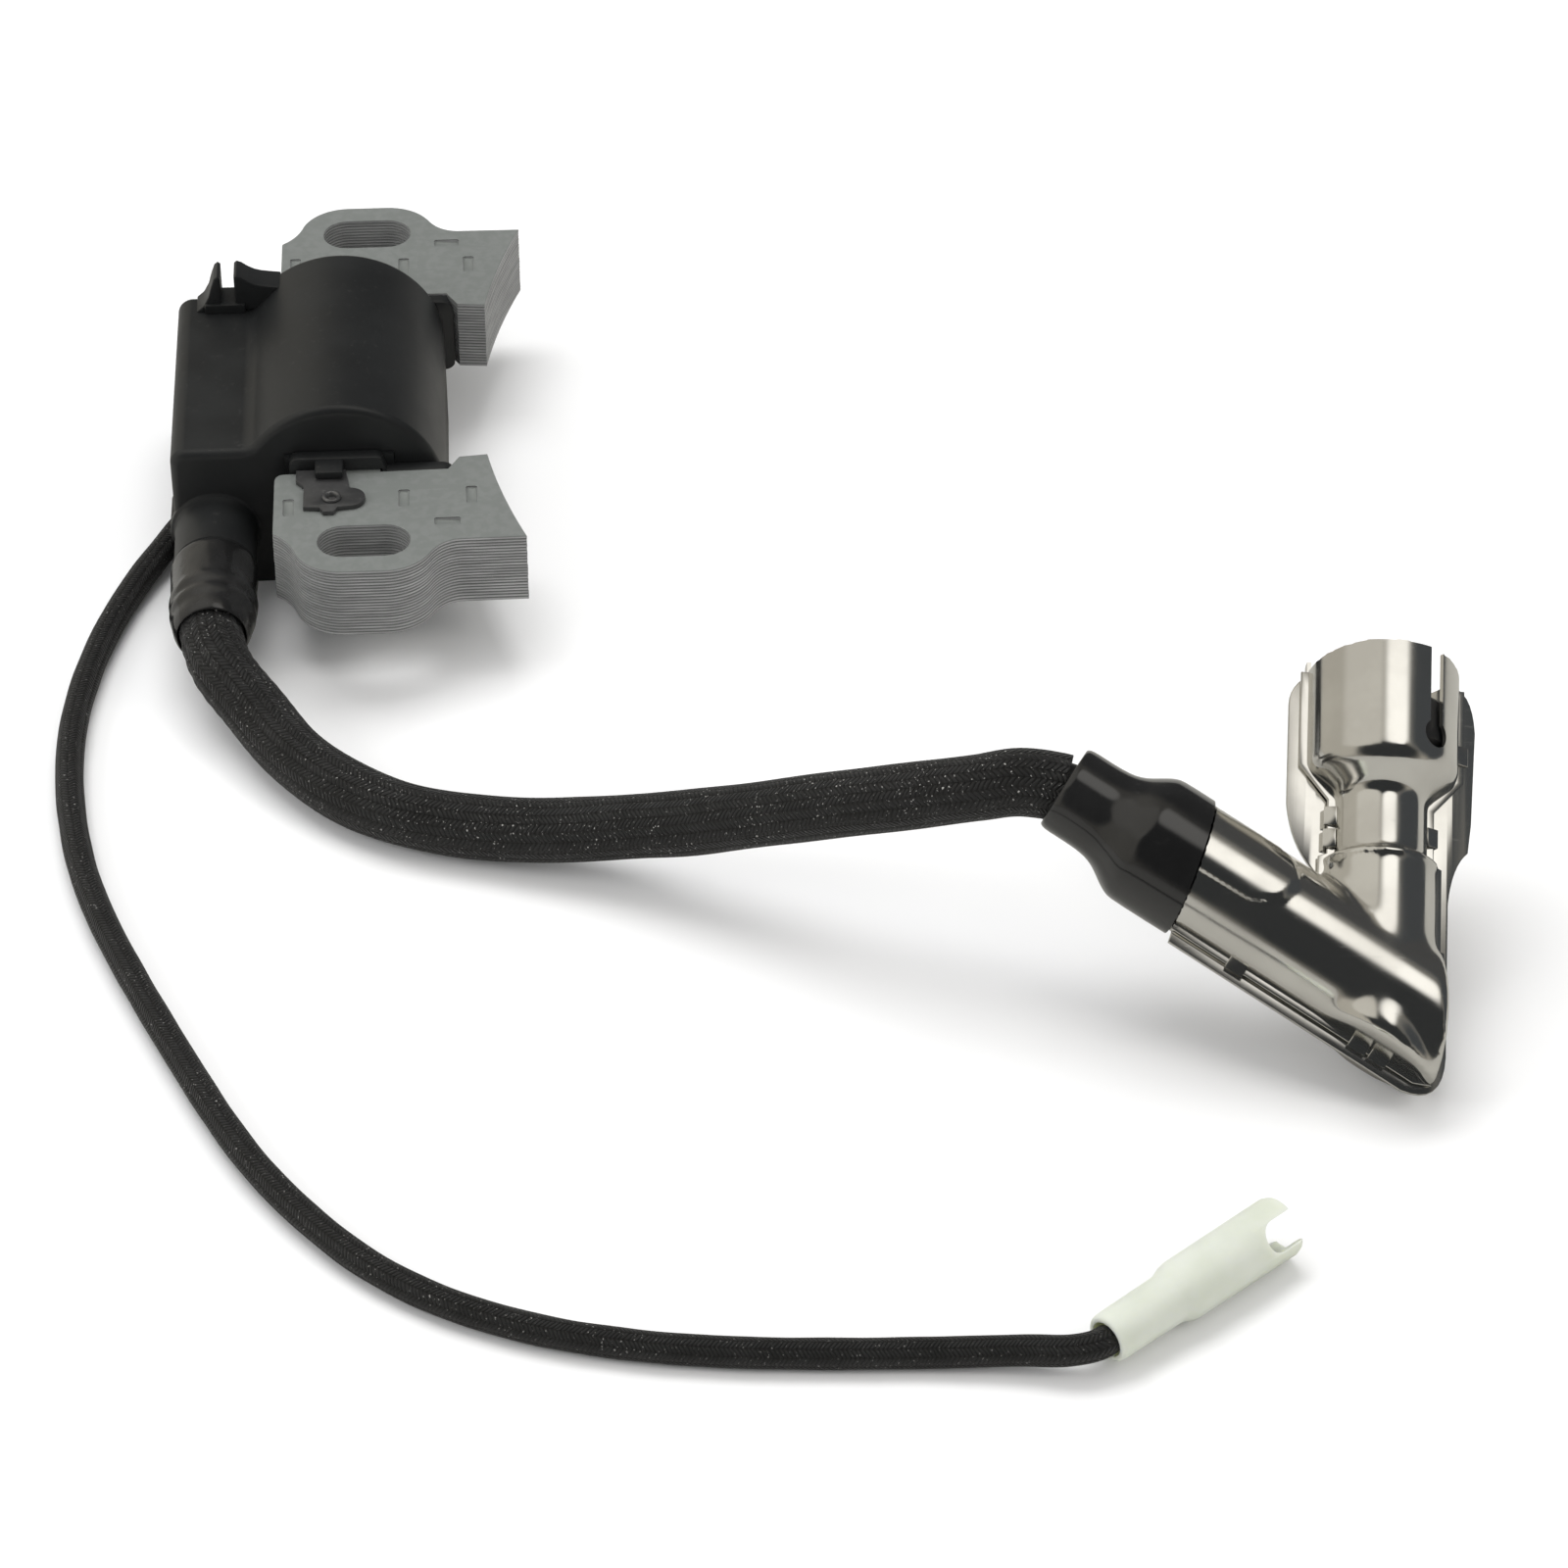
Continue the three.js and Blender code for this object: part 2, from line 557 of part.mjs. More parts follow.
const MOUTH_OUT = 26.2; // the lead arm's mouth is cut on a slant: outer side
const MOUTH_IN = 30.0; // and inner side
const RING_AT = 16.8;
const SHOULDER_LOW = 24.8;
const SHOULDER_TOP = 29.3;
const RIM = 42.4;
const TIP = -16;

// The cap's bent body with every wall moved in by inset; open also runs it out of both mouths.
function bentBody(inset, open) {
  const run = open ? 6 : 0;
  const profile = [
    [TIP - 4, ELBOW_R - inset], [RING_AT - inset, ELBOW_R - inset], [RING_AT, NECK_R - inset],
    [SHOULDER_LOW + inset / 2, NECK_R - inset], [SHOULDER_TOP + inset / 2, CUP_R - inset],
    [RIM + run, CUP_R - inset],
  ];
  const upright = turned(profile, 28);
  const arm = onArm(rod(-22, MOUTH_IN + run + 4, ARM_R - inset, 28));
  const slab = block(TIP - 20, 70, -ELBOW_R + inset, 60, -20, 20);
  const keepAbove = onArm(block(-40, 80, -60, ARM_R - inset, -20, 20));
  const both = join(common(arm, slab), common(upright, keepAbove));
  const far = 20;
  const lean = Math.atan2(MOUTH_IN - MOUTH_OUT, 2 * ARM_R);
  const middle = (MOUTH_IN + MOUTH_OUT) / 2 + run;
  const beyond = onArm(block(0, far, -30, 30, -20, 20).rotateZ(lean).translate(middle, 0, 0));
  return cut(both, beyond);
}

// Outline of the wide seam flange of the far half-shell.
function flangeShape() {
  const along = new THREE.Vector2(Math.cos(turn(CAP_ANGLE)), Math.sin(turn(CAP_ANGLE)));
  const out = new THREE.Vector2(-along.y, along.x);
  const onArmAt = (run, side) => along.clone().multiplyScalar(run).addScaledVector(out, side);
  const edge = ARM_R + 2.4;
  const side = CUP_R + 2.3;
  const shape = new THREE.Shape();
  const start = onArmAt(MOUTH_OUT - 0.6, edge);
  const tip = onArmAt(-11.5, edge);
  const inner = onArmAt(MOUTH_IN, -ARM_R - 1);
  shape.moveTo(start.x, start.y);
  shape.lineTo(tip.x, tip.y);
  shape.quadraticCurveTo(tip.x - 1.6, -ELBOW_R - 1.9, -10.5, -ELBOW_R - 2.1);
  shape.lineTo(12.5, -ELBOW_R - 2.1);
  shape.quadraticCurveTo(18, -ELBOW_R - 2.6, 20, -side + 0.4);
  shape.lineTo(24, -side);
  shape.lineTo(37, -side - 0.4);
  shape.quadraticCurveTo(43.4, -side, 43.4, -side + 3.4);
  shape.lineTo(43.4, side - 4.6);
  shape.quadraticCurveTo(41.6, side, 38, side);
  shape.lineTo(24, side);
  shape.quadraticCurveTo(18.4, side - 0.6, 15.2, 8.8);
  shape.lineTo(inner.x, inner.y);
  return shape;
}

function shieldHalves() {
  const outer = bentBody(0, false);
  const inner = bentBody(PLATE, true);
  const shell = cut(outer, inner);
  const seam = GAP / 2;
  const lip = common(bentBody(-1, false), block(-40, 60, -40, 60, seam, seam + PLATE));
  const nearHalf = common(shell, block(-40, 60, -40, 60, seam, 30));
  const slot = join(
    block(RIM - 9.5, RIM + 2, -0.9, 0.9, 6, 14),
    rod(6, 14, 1.8, 12).rotateY(-Math.PI / 2).translate(RIM - 10, 0, 0),
  ).rotateX(turn(42));
  const near = cut(join(nearHalf, lip), inner, slot);
  const flange = plate(flangeShape(), -seam - PLATE, -seam, 4);
  const farLong = turned([[SHOULDER_TOP + 1, CUP_R], [RIM + 1.8, CUP_R]], 28);
  const farBlank = join(outer, farLong);
  const farShell = cut(farBlank, inner);
  const farHalf = common(farShell, block(-40, 60, -40, 60, -30, -seam));
  const far = cut(join(farHalf, flange), inner);
  return [
    named("shield_near", near, BRIGHT_STEEL),
    named("shield_far", far, BRIGHT_STEEL),
  ];
}

function capInsulator() {
  const inset = PLATE + 0.4;
  const body = bentBody(inset, false);
  const trimArm = onArm(block(21, 60, -30, 30, -20, 20));
  const trimCup = block(26, 60, -30, 30, -20, 20);
  const leadBore = onArm(rod(9, 60, LEAD_R + 0.35, 16));
  const plugBore = rod(8, 60, 3.4, 16);
  const link = join(rod(-1.2, 10, 1.5, 10), onArm(rod(-1.2, 12, 1.5, 10)));
  return named("cap_insulator", cut(body, trimArm, trimCup, leadBore, plugBore, link), BAKELITE);
}

function capInnards() {
  const screw = onArm(turned([[2.6, 1.1], [10.2, 1.1], [10.2, 2.8], [11.4, 2.8], [11.4, 0.8], [13.2, 0.3]], 12));
  const resistor = rod(9.2, 19.6, 2.6, 14);
  const clip = cut(turned([[20.4, 2.9], [29.0, 2.9], [31.5, 3.4]], 14), rod(21.6, 40, 2.2, 14));
  const seal = cut(
    turned([[SHOULDER_TOP - 1, NECK_R - 0.7], [SHOULDER_TOP + 3, CUP_R - 1.1], [38, CUP_R - 1.1]], 20),
    turned([[SHOULDER_TOP - 3, 4.3], [34, 4.3], [40, 7.6]], 20),
  );
  return [
    named("lead_screw", screw, BRASS),
    named("suppressor_resistor", resistor, CERAMIC),
    named("plug_contact", clip, BRIGHT_STEEL),
    named("plug_seal", seal, RUBBER),
  ];
}

// Rubber boot that closes the lead arm and grips the lead.
function capBoot() {
  const skirt = ARM_R - PLATE - 0.35;
  const lean = Math.atan2(MOUTH_IN - MOUTH_OUT, 2 * ARM_R);
  const middle = (MOUTH_IN + MOUTH_OUT) / 2;
  const head = turned([
    [20, 8.9], [36.0, 8.9], [37.8, 8.0], [39.8, 6.3], [41.4, 5.85], [44.6, 5.85], [46, 5.3],
  ], 24);
  const behind = block(-20, GAP, -30, 30, -20, 20).rotateZ(lean).translate(middle, 0, 0);
  const plug = rod(21.4, 33, skirt, 24);
  const bore = turned([[10, LEAD_R + 0.35], [41, LEAD_R + 0.35], [46, 4.7], [48, 5.1]], 16);
  return named("cap_boot", onArm(cut(join(cut(head, behind), plug), bore)), RUBBER);
}

function plugCap() {
  const group = capGroup();
  group.add(...shieldHalves(), capInsulator(), ...capInnards(), capBoot());
  return group;
}

// ---------------------------------------------------------------- assembly

const coil = new THREE.Group();
coil.add(core(), groundTab(), caseShell(), potting(), bobbins(), secondary());
coil.add(endCollar(1), endCollar(-1), electronics());
coil.add(plugLead(), grommet(), stopWire(), connector(), plugCap());
coil.position.copy(ORIGIN_SHIFT);

const part = new THREE.Group();
part.add(coil);
export default part;
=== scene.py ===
# %% [markdown]
# # Dressing a small-engine ignition coil
# An ignition coil makes the spark of a small petrol engine: magnets on the flywheel sweep past its steel core,
# and the winding in its black case sends a pulse down the plug lead to the spark plug.
# The measured model of it is already there as a frame. This lesson builds what the eye sees around that frame:
# moulded plastic, pressed chrome, stacked steel sheet, braided sleeves.

# %% Load the frame
import json
import math
import random
from contextlib import contextmanager

import bmesh
import bpy
import numpy as np
from mathutils import Matrix, Vector

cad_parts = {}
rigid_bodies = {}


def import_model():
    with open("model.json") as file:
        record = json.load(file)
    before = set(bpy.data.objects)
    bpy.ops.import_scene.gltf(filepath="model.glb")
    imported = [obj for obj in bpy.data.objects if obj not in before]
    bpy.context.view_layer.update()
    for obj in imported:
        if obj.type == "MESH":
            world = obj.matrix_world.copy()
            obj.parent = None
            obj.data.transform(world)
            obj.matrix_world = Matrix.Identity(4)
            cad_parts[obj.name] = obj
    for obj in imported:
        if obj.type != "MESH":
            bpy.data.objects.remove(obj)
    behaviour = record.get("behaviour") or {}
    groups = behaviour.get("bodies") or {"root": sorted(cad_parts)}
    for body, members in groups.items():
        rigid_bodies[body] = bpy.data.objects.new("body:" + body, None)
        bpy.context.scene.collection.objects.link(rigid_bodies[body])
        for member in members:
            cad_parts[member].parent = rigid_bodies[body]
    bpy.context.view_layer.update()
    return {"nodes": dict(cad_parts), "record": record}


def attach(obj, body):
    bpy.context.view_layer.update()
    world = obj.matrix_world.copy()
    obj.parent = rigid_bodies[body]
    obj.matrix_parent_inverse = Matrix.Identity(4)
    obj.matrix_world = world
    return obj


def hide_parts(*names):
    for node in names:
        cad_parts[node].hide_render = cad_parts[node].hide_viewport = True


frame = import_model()

# %% [markdown]
# ## Units and places
# Blender works in metres, and a coil is easier to think of in millimetres. The coil's own zero lies 3 mm
# to the left of the frame's origin, so one small function turns a place on the coil into a place in the scene.

# %% Units
MM = 0.001
COIL_X = 3.0


def at(x, y, z):
    return Vector(((x + COIL_X) * MM, y * MM, z * MM))


print("winding axis lies at", tuple(at(-3.5, 0, 15)))

# %% [markdown]
# ## Camera
# The coil is seen from above at about 39 degrees, turned three degrees, through a long lens, as a catalogue
# picture is taken. A long lens keeps the sides of the case nearly parallel. The camera is made first,
# because the cords are judged by what it sees.

# %% Camera
LOOK_TURN = math.radians(3.03)
LOOK_DOWN = math.radians(39.223)
LOOK_FAR = 0.75
look = Vector((math.sin(LOOK_TURN) * math.cos(LOOK_DOWN), math.cos(LOOK_TURN) * math.cos(LOOK_DOWN),
               -math.sin(LOOK_DOWN)))
lens = bpy.data.cameras.new("camera")
lens.lens = 125.28
lens.sensor_width = 36
camera = bpy.data.objects.new("camera", lens)
camera.location = at(56.9, -70, 0) - look * LOOK_FAR
camera.rotation_mode = "QUATERNION"
camera.rotation_quaternion = look.to_track_quat("-Z", "Y")
lens.clip_start = 0.01
lens.clip_end = 50
bpy.context.scene.collection.objects.link(camera)
bpy.context.scene.camera = camera
print("camera at", tuple(round(v, 3) for v in camera.location))

# %% [markdown]
# ## Node helpers
# Every finish below is made of shader nodes. Short helpers keep those recipes readable: one adds a node
# and fills its sockets, others give a sum, a smooth step, a cloud of noise or a mix of two colours. The last
# opens a node group with named inputs and outputs, so that an effect such as grain or scuffs is built once and
# placed in many materials with different values.

# %% Node helpers
def fill(tree, sockets, values):
    """Each value is either another node's socket, which is linked, or a plain value, which is set."""
    for name, value in values.items():
        if isinstance(value, bpy.types.NodeSocket):
            tree.links.new(value, sockets[name])
        elif value is not None:
            sockets[name].default_value = value


def add_node(tree, kind, inputs=None, **settings):
    made = tree.nodes.new(kind)
    for name, value in settings.items():
        setattr(made, name, value)
    fill(tree, made.inputs, inputs or {})
    return made


def open_group(name, inputs, outputs):
    tree = bpy.data.node_groups.new(name, "ShaderNodeTree")
    for label, (kind, value) in inputs.items():
        made = tree.interface.new_socket(label, in_out="INPUT", socket_type=kind)
        if value is not None:
            made.default_value = value
    for label, kind in outputs.items():
        tree.interface.new_socket(label, in_out="OUTPUT", socket_type=kind)
    return tree, tree.nodes.new("NodeGroupInput").outputs, tree.nodes.new("NodeGroupOutput").inputs


def maths(tree, operation, first, second=0.5, third=None, clamp=False):
    values = {0: first, 1: second, 2: third}
    return add_node(tree, "ShaderNodeMath", values, operation=operation, use_clamp=clamp).outputs[0]


def smooth_range(tree, value, low, high, to_low=0.0, to_high=1.0):
    ends = {"Value": value, "From Min": low, "From Max": high, "To Min": to_low, "To Max": to_high}
    return add_node(tree, "ShaderNodeMapRange", ends, interpolation_type="SMOOTHSTEP").outputs[0]


def cloud(tree, vector, scale, detail=2.0, roughness=0.5):
    return add_node(tree, "ShaderNodeTexNoise", {"Vector": vector, "Scale": scale, "Detail": detail,
                                                 "Roughness": roughness}).outputs["Fac"]


def axes_of(tree, vector):
    return add_node(tree, "ShaderNodeSeparateXYZ", {0: vector}).outputs


def mix_colour(tree, mask, first, second):
    return add_node(tree, "ShaderNodeMix", {0: mask, 6: first, 7: second}, data_type="RGBA").outputs[2]


def grey(value, tint=(1.0, 1.0, 1.0)):
    return (value * tint[0], value * tint[1], value * tint[2], 1.0)


FLOAT, COLOUR, VECTOR = "NodeSocketFloat", "NodeSocketColor", "NodeSocketVector"
print("node helpers ready")

# %% [markdown]
# ## Shared effects
# - *Mottle* drifts slowly between two colours, as varnish, plating and moulded plastic do.
# - *Grain* is the fine even tooth of a mould or a casting, given out as a height for bump.
# - *Scuffs* are thin scratches in two directions, where pieces rubbed in the box.
# - *Dust* settles on what faces up.
# - *Edge wear* finds sharp edges by the pointiness of the mesh and breaks them up with noise.
# - *Herringbone* lays slanted strands in columns along a cord, by the piece's own UV map in metres,
#   with masks for painted shade in the hollows between strands and for painted glints on single fibres.

# %% Shared effects
def mottle_group():
    tree, given, result = open_group("Mottle", {
        "Vector": (VECTOR, None), "Scale": (FLOAT, 300.0), "First": (COLOUR, (0, 0, 0, 1)),
        "Second": (COLOUR, (1, 1, 1, 1))}, {"Color": COLOUR, "Value": FLOAT})
    value = smooth_range(tree, cloud(tree, given["Vector"], given["Scale"], 4.0), 0.32, 0.68)
    fill(tree, result, {"Value": value, "Color": mix_colour(tree, value, given["First"], given["Second"])})
    return tree


def grain_group():
    tree, given, result = open_group("Grain", {"Vector": (VECTOR, None), "Scale": (FLOAT, 4000.0)},
                                     {"Height": FLOAT})
    fine = cloud(tree, given["Vector"], given["Scale"])
    wide = cloud(tree, given["Vector"], maths(tree, "MULTIPLY", given["Scale"], 0.13), 1.0)
    fill(tree, result, {"Height": maths(tree, "MULTIPLY_ADD", wide, 0.7, fine)})
    return tree


def mask_group(name, scale, amount, marks):
    """An effect that gives a mask: marks builds it in the tree, and the group's Amount weakens it."""
    tree, given, result = open_group(name, {"Vector": (VECTOR, None), "Scale": (FLOAT, scale),
                                            "Amount": (FLOAT, amount)}, {"Mask": FLOAT})
    mask = maths(tree, "MULTIPLY", marks(tree, given), given["Amount"], clamp=True)
    fill(tree, result, {"Mask": mask})
    return tree


def scratches(tree, given):
    marks = []
    for turn, stretch in ((0.6, 14.0), (2.1, 9.0)):
        slanted = add_node(tree, "ShaderNodeMapping", {"Vector": given["Vector"], "Scale": (1.0, stretch, 1.0),
                                                       "Rotation": (0.4, turn, turn * 1.7)}).outputs[0]
        marks.append(smooth_range(tree, cloud(tree, slanted, given["Scale"], 3.0), 0.66, 0.74))
    return maths(tree, "MAXIMUM", *marks)


def settled_specks(tree, given):
    normal = add_node(tree, "ShaderNodeNewGeometry").outputs["Normal"]
    up = smooth_range(tree, axes_of(tree, normal)["Z"], 0.1, 0.95)
    specks = smooth_range(tree, cloud(tree, given["Vector"], given["Scale"], 6.0, 0.7), 0.58, 0.76)
    return maths(tree, "MULTIPLY", up, specks)


def rubbed_edges(tree, given):
    point = add_node(tree, "ShaderNodeNewGeometry").outputs["Pointiness"]
    broken = smooth_range(tree, cloud(tree, given["Vector"], given["Scale"], 4.0), 0.38, 0.62)
    return maths(tree, "MULTIPLY", smooth_range(tree, point, 0.51, 0.56), broken)


def herringbone_group():
    tree, given, result = open_group("Herringbone", {
        "UV": (VECTOR, None), "Column": (FLOAT, 0.001), "Strand": (FLOAT, 0.00055), "Flecks": (FLOAT, 0.5)},
        {"Height": FLOAT, "Hollow shade": FLOAT, "Fleck": FLOAT})
    run = axes_of(tree, given["UV"])
    column = maths(tree, "DIVIDE", run["X"], given["Column"])
    half = maths(tree, "FRACT", maths(tree, "MULTIPLY", column, 0.5))
    slope = maths(tree, "ABSOLUTE", maths(tree, "MULTIPLY_ADD", half, 2.0, -1.0))
    strand = maths(tree, "DIVIDE", run["Y"], given["Strand"])
    phase = maths(tree, "MULTIPLY_ADD", slope, 1.3, strand)
    phase = maths(tree, "MULTIPLY_ADD", cloud(tree, given["UV"], 420.0), 0.9, phase)
    wave, rows = (maths(tree, "ABSOLUTE", maths(tree, "SINE", maths(tree, "MULTIPLY", along, math.pi)))
                  for along in (phase, column))
    rounded = maths(tree, "MULTIPLY", maths(tree, "POWER", wave, 0.6), maths(tree, "POWER", rows, 0.35))
    fuzz = cloud(tree, given["UV"], 2600.0, 1.0)
    # Fine pale specks picked here are painted glints, where single fibres catch the light.
    glint_mask = smooth_range(tree, fuzz, 0.66, 0.74)
    patch = smooth_range(tree, cloud(tree, given["UV"], 120.0), 0.42, 0.62, 0.25, 1.0)
    glint_mask = maths(tree, "MULTIPLY", maths(tree, "MULTIPLY", glint_mask, patch), given["Flecks"], clamp=True)
    # The mask for the hollows between strands is painted shade, which darkens the colour there.
    fill(tree, result, {"Height": maths(tree, "MULTIPLY_ADD", fuzz, 0.25, rounded), "Fleck": glint_mask,
                        "Hollow shade": smooth_range(tree, rounded, 0.25, 0.8, 1.0, 0.0)})
    return tree


EFFECTS = {"Mottle": mottle_group(), "Grain": grain_group(), "Herringbone": herringbone_group(),
           "Scuffs": mask_group("Scuffs", 260.0, 0.5, scratches),
           "Dust": mask_group("Dust", 900.0, 0.3, settled_specks),
           "Edge wear": mask_group("Edge wear", 800.0, 0.5, rubbed_edges)}
print("effects:", ", ".join(EFFECTS))

# %% [markdown]
# ## One recipe for the solid finishes
# Most finishes differ only in their colours, gloss and how much grain, dust and wear they show. One function
# therefore builds them all: a Principled shader whose plain numbers sit on its own sockets, while what changes
# over the surface comes from the effects. Patterns read Object coordinates, so they stay put on each piece.

# %% Finish recipe
FINE_TOOTH = 0.00005  # height of the grain, in metres


def place_effect(tree, name, **inputs):
    made = tree.nodes.new("ShaderNodeGroup")
    made.node_tree = EFFECTS[name]
    fill(tree, made.inputs, inputs)
    return made.outputs


def start_finish(name):
    made = bpy.data.materials.new(name)
    made.use_nodes = True
    tree = made.node_tree
    return made, tree, tree.nodes["Principled BSDF"].inputs, add_node(tree, "ShaderNodeTexCoord").outputs


def bump(tree, height, strength, distance=FINE_TOOTH):
    return add_node(tree, "ShaderNodeBump", {"Height": height, "Strength": strength,
                                             "Distance": distance}).outputs[0]


def finish(name, first, second, rough, metal=0.0, mottle=250.0, grain=4500.0, tooth=0.05, dust=0.0,
           scuffs=0.0, scuff_colour=(0.4, 0.4, 0.38, 1), rough_swing=0.08, coat=0.0, subsurface=0.0):
    made, tree, shader, coordinates = start_finish(name)
    where = coordinates["Object"]
    drift = place_effect(tree, "Mottle", Vector=where, Scale=mottle, First=first, Second=second)
    colour = drift["Color"]
    roughness = maths(tree, "MULTIPLY_ADD", drift["Value"], rough_swing, rough)
    if scuffs:
        mark = place_effect(tree, "Scuffs", Vector=where, Amount=scuffs)["Mask"]
        roughness = maths(tree, "MULTIPLY_ADD", mark, 0.25, roughness, clamp=True)
        colour = mix_colour(tree, maths(tree, "MULTIPLY", mark, 0.3), colour, scuff_colour)
    if dust:
        specks = place_effect(tree, "Dust", Vector=where, Amount=dust)["Mask"]
        colour = mix_colour(tree, specks, colour, (0.32, 0.31, 0.29, 1))
        roughness = maths(tree, "MULTIPLY_ADD", specks, 0.3, roughness, clamp=True)
    height = place_effect(tree, "Grain", Vector=where, Scale=grain)["Height"]
    fill(tree, shader, {"Base Color": colour, "Roughness": roughness, "Normal": bump(tree, height, tooth),
                        "Metallic": metal, "Coat Weight": coat, "Coat Roughness": 0.08})
    if subsurface:
        fill(tree, shader, {"Subsurface Weight": subsurface, "Subsurface Radius": (1.0, 1.0, 0.7),
                            "Subsurface Scale": 0.002})
    return made


FINISHES = {
    "tab_steel": finish("dark plated strip", grey(0.060), grey(0.085), 0.32, metal=0.5, tooth=0.06, dust=0.2),
    "bright_steel": finish("bright plated sheet", grey(0.78, (1.0, .99, .95)), grey(0.70, (1.0, .985, .94)),
                           0.10, metal=1.0, mottle=120.0, grain=900.0, tooth=0.018, scuffs=0.35,
                           rough_swing=0.07, scuff_colour=grey(0.9)),
    "case_plastic": finish("moulded case plastic", grey(0.0105, (.93, 1.0, 1.03)),
                           grey(0.0145, (.93, 1.0, 1.03)), 0.40, mottle=90.0, grain=3600.0, tooth=0.12,
                           dust=0.06, rough_swing=0.06),
    "resin": finish("cast potting resin", grey(0.012), grey(0.02), 0.16, mottle=60.0, grain=220.0, tooth=0.35,
                    dust=0.2, coat=0.3),
    "copper": finish("enamelled copper wire", (0.42, 0.14, 0.05, 1), (0.55, 0.2, 0.07, 1), 0.25, metal=0.9),
    "white_nylon": finish("natural nylon", (0.58, 0.61, 0.53, 1), (0.63, 0.655, 0.585, 1), 0.34, mottle=120.0,
                          grain=1800.0, tooth=0.06, subsurface=0.55, dust=0.03),
    "board": finish("coated circuit board", (0.02, 0.12, 0.05, 1), (0.03, 0.16, 0.07, 1), 0.35, coat=0.4),
    "ceramic": finish("bare ceramic", (0.62, 0.58, 0.5, 1), (0.7, 0.66, 0.58, 1), 0.6, tooth=0.2),
    "brass": finish("turned brass", (0.66, 0.45, 0.17, 1), (0.74, 0.52, 0.22, 1), 0.22, metal=1.0, scuffs=0.3),
    "lead_rubber": finish("lead rubber", grey(0.014), grey(0.022), 0.45, mottle=180.0, grain=2500.0, tooth=0.1,
                          dust=0.12),
    "shrink_tube": finish("glossy boot rubber", grey(0.008), grey(0.013), 0.13, mottle=90.0, grain=600.0,
                          coat=0.5, rough_swing=0.06, dust=0.05),
    "bakelite": finish("brown insulator moulding", (0.02, 0.012, 0.008, 1), (0.035, 0.02, 0.012, 1), 0.35),
    "shrink": finish("shrunk tube", grey(0.009), grey(0.014), 0.22, mottle=120.0, grain=500.0, tooth=0.08,
                     coat=0.4, rough_swing=0.1),
    "rivet": finish("dull rivet", grey(0.20), grey(0.14), 0.3, metal=0.8, mottle=900.0, tooth=0.1),
}
print(len(FINISHES), "plain finishes made")


# %% [markdown]
# The braid is one finish with two sizes of strand. Its pale specks are painted glints, where single
# fibres catch the light, and the hollows between strands are darkened with painted shade.

# %% Braid finish
def braid_finish(name, low, high, column, strand, glint_strength):
    made, tree, shader, coordinates = start_finish(name)
    weave = place_effect(tree, "Herringbone", UV=coordinates["UV"], Column=column, Strand=strand, Flecks=glint_strength)
    drift = place_effect(tree, "Mottle", Vector=coordinates["Object"], Scale=220.0, First=low, Second=high)
    # Painted shade: the hollows between strands are darkened almost to black.
    shade = mix_colour(tree, weave["Hollow shade"], drift["Color"], grey(0.002))
    # Painted glints: pale specks in the colour where single fibres catch the light.
    colour = mix_colour(tree, weave["Fleck"], shade, grey(0.42, (1.0, .98, .93)))
    fill(tree, shader, {"Base Color": colour, "Normal": bump(tree, weave["Height"], 1.0, 0.0002),
                        "Roughness": maths(tree, "MULTIPLY_ADD", weave["Fleck"], -0.3, 0.62),
                        "Sheen Weight": 0.07, "Sheen Roughness": 0.4})
    return made


FINISHES["braid"] = braid_finish("woven glass sleeve", grey(0.0085), grey(0.016), 0.00125, 0.00066, 1.0)
FINISHES["fine_braid"] = braid_finish("fine glass sleeve", grey(0.008), grey(0.014), 0.0010, 0.00055, 0.6)
print("braids made")


# %% [markdown]
# The core's finish tells sheet from joint by height, so it needs the measures of the stack, in millimetres: how
# thick a sheet is, how many there are, and where the stack starts and ends.

# %% Core finish
SHEET, SHEETS, CORE_LOW, CORE_TOP = 0.5, 22, 9.5, 20.5


def core_finish():
    """Grey varnish over stacked sheet: plain on top, and fine light and dark lines round the sides."""
    made, tree, shader, coordinates = start_finish("varnished core sheet")
    where = coordinates["Object"]
    spot = axes_of(tree, where)
    level = maths(tree, "MULTIPLY_ADD", spot["Z"], 1 / (SHEET * MM), -CORE_LOW / SHEET)
    inside = maths(tree, "FRACT", level)
    off_middle = maths(tree, "ABSOLUTE", maths(tree, "SUBTRACT", inside, 0.5))
    joint = smooth_range(tree, maths(tree, "MULTIPLY", off_middle, 2.0), 0.4, 0.75)
    edge_spot = add_node(tree, "ShaderNodeCombineXYZ", {"X": spot["X"], "Y": spot["Y"],
                                                        "Z": maths(tree, "FLOOR", level)}).outputs[0]
    torn = smooth_range(tree, cloud(tree, edge_spot, 150.0), 0.3, 0.7)
    lines = mix_colour(tree, joint, mix_colour(tree, torn, grey(0.30), grey(0.42)), grey(0.02))
    top = place_effect(tree, "Mottle", Vector=where, Scale=70.0, First=grey(0.205, (.94, 1.0, .95)),
                       Second=grey(0.213, (.94, 1.0, .95)))["Color"]
    worn = place_effect(tree, "Edge wear", Vector=where, Amount=0.5)["Mask"]
    top = mix_colour(tree, maths(tree, "MULTIPLY", worn, 0.25), top, grey(0.36))
    normal = add_node(tree, "ShaderNodeNewGeometry").outputs["Normal"]
    side = smooth_range(tree, maths(tree, "ABSOLUTE", axes_of(tree, normal)["Z"]), 0.25, 0.6, 1.0, 0.0)
    specks = place_effect(tree, "Dust", Vector=where, Amount=0.05)["Mask"]
    grain = place_effect(tree, "Grain", Vector=where, Scale=5200.0)["Height"]
    fill(tree, shader, {
        "Base Color": mix_colour(tree, specks, mix_colour(tree, side, top, lines), grey(0.34)),
        "Roughness": maths(tree, "MULTIPLY_ADD", side, 0.15, 0.34),
        "Normal": bump(tree, grain, 0.06), "Metallic": 0.25})
    return made


FINISHES["core_steel"] = core_finish()
print(len(FINISHES), "finishes in all")

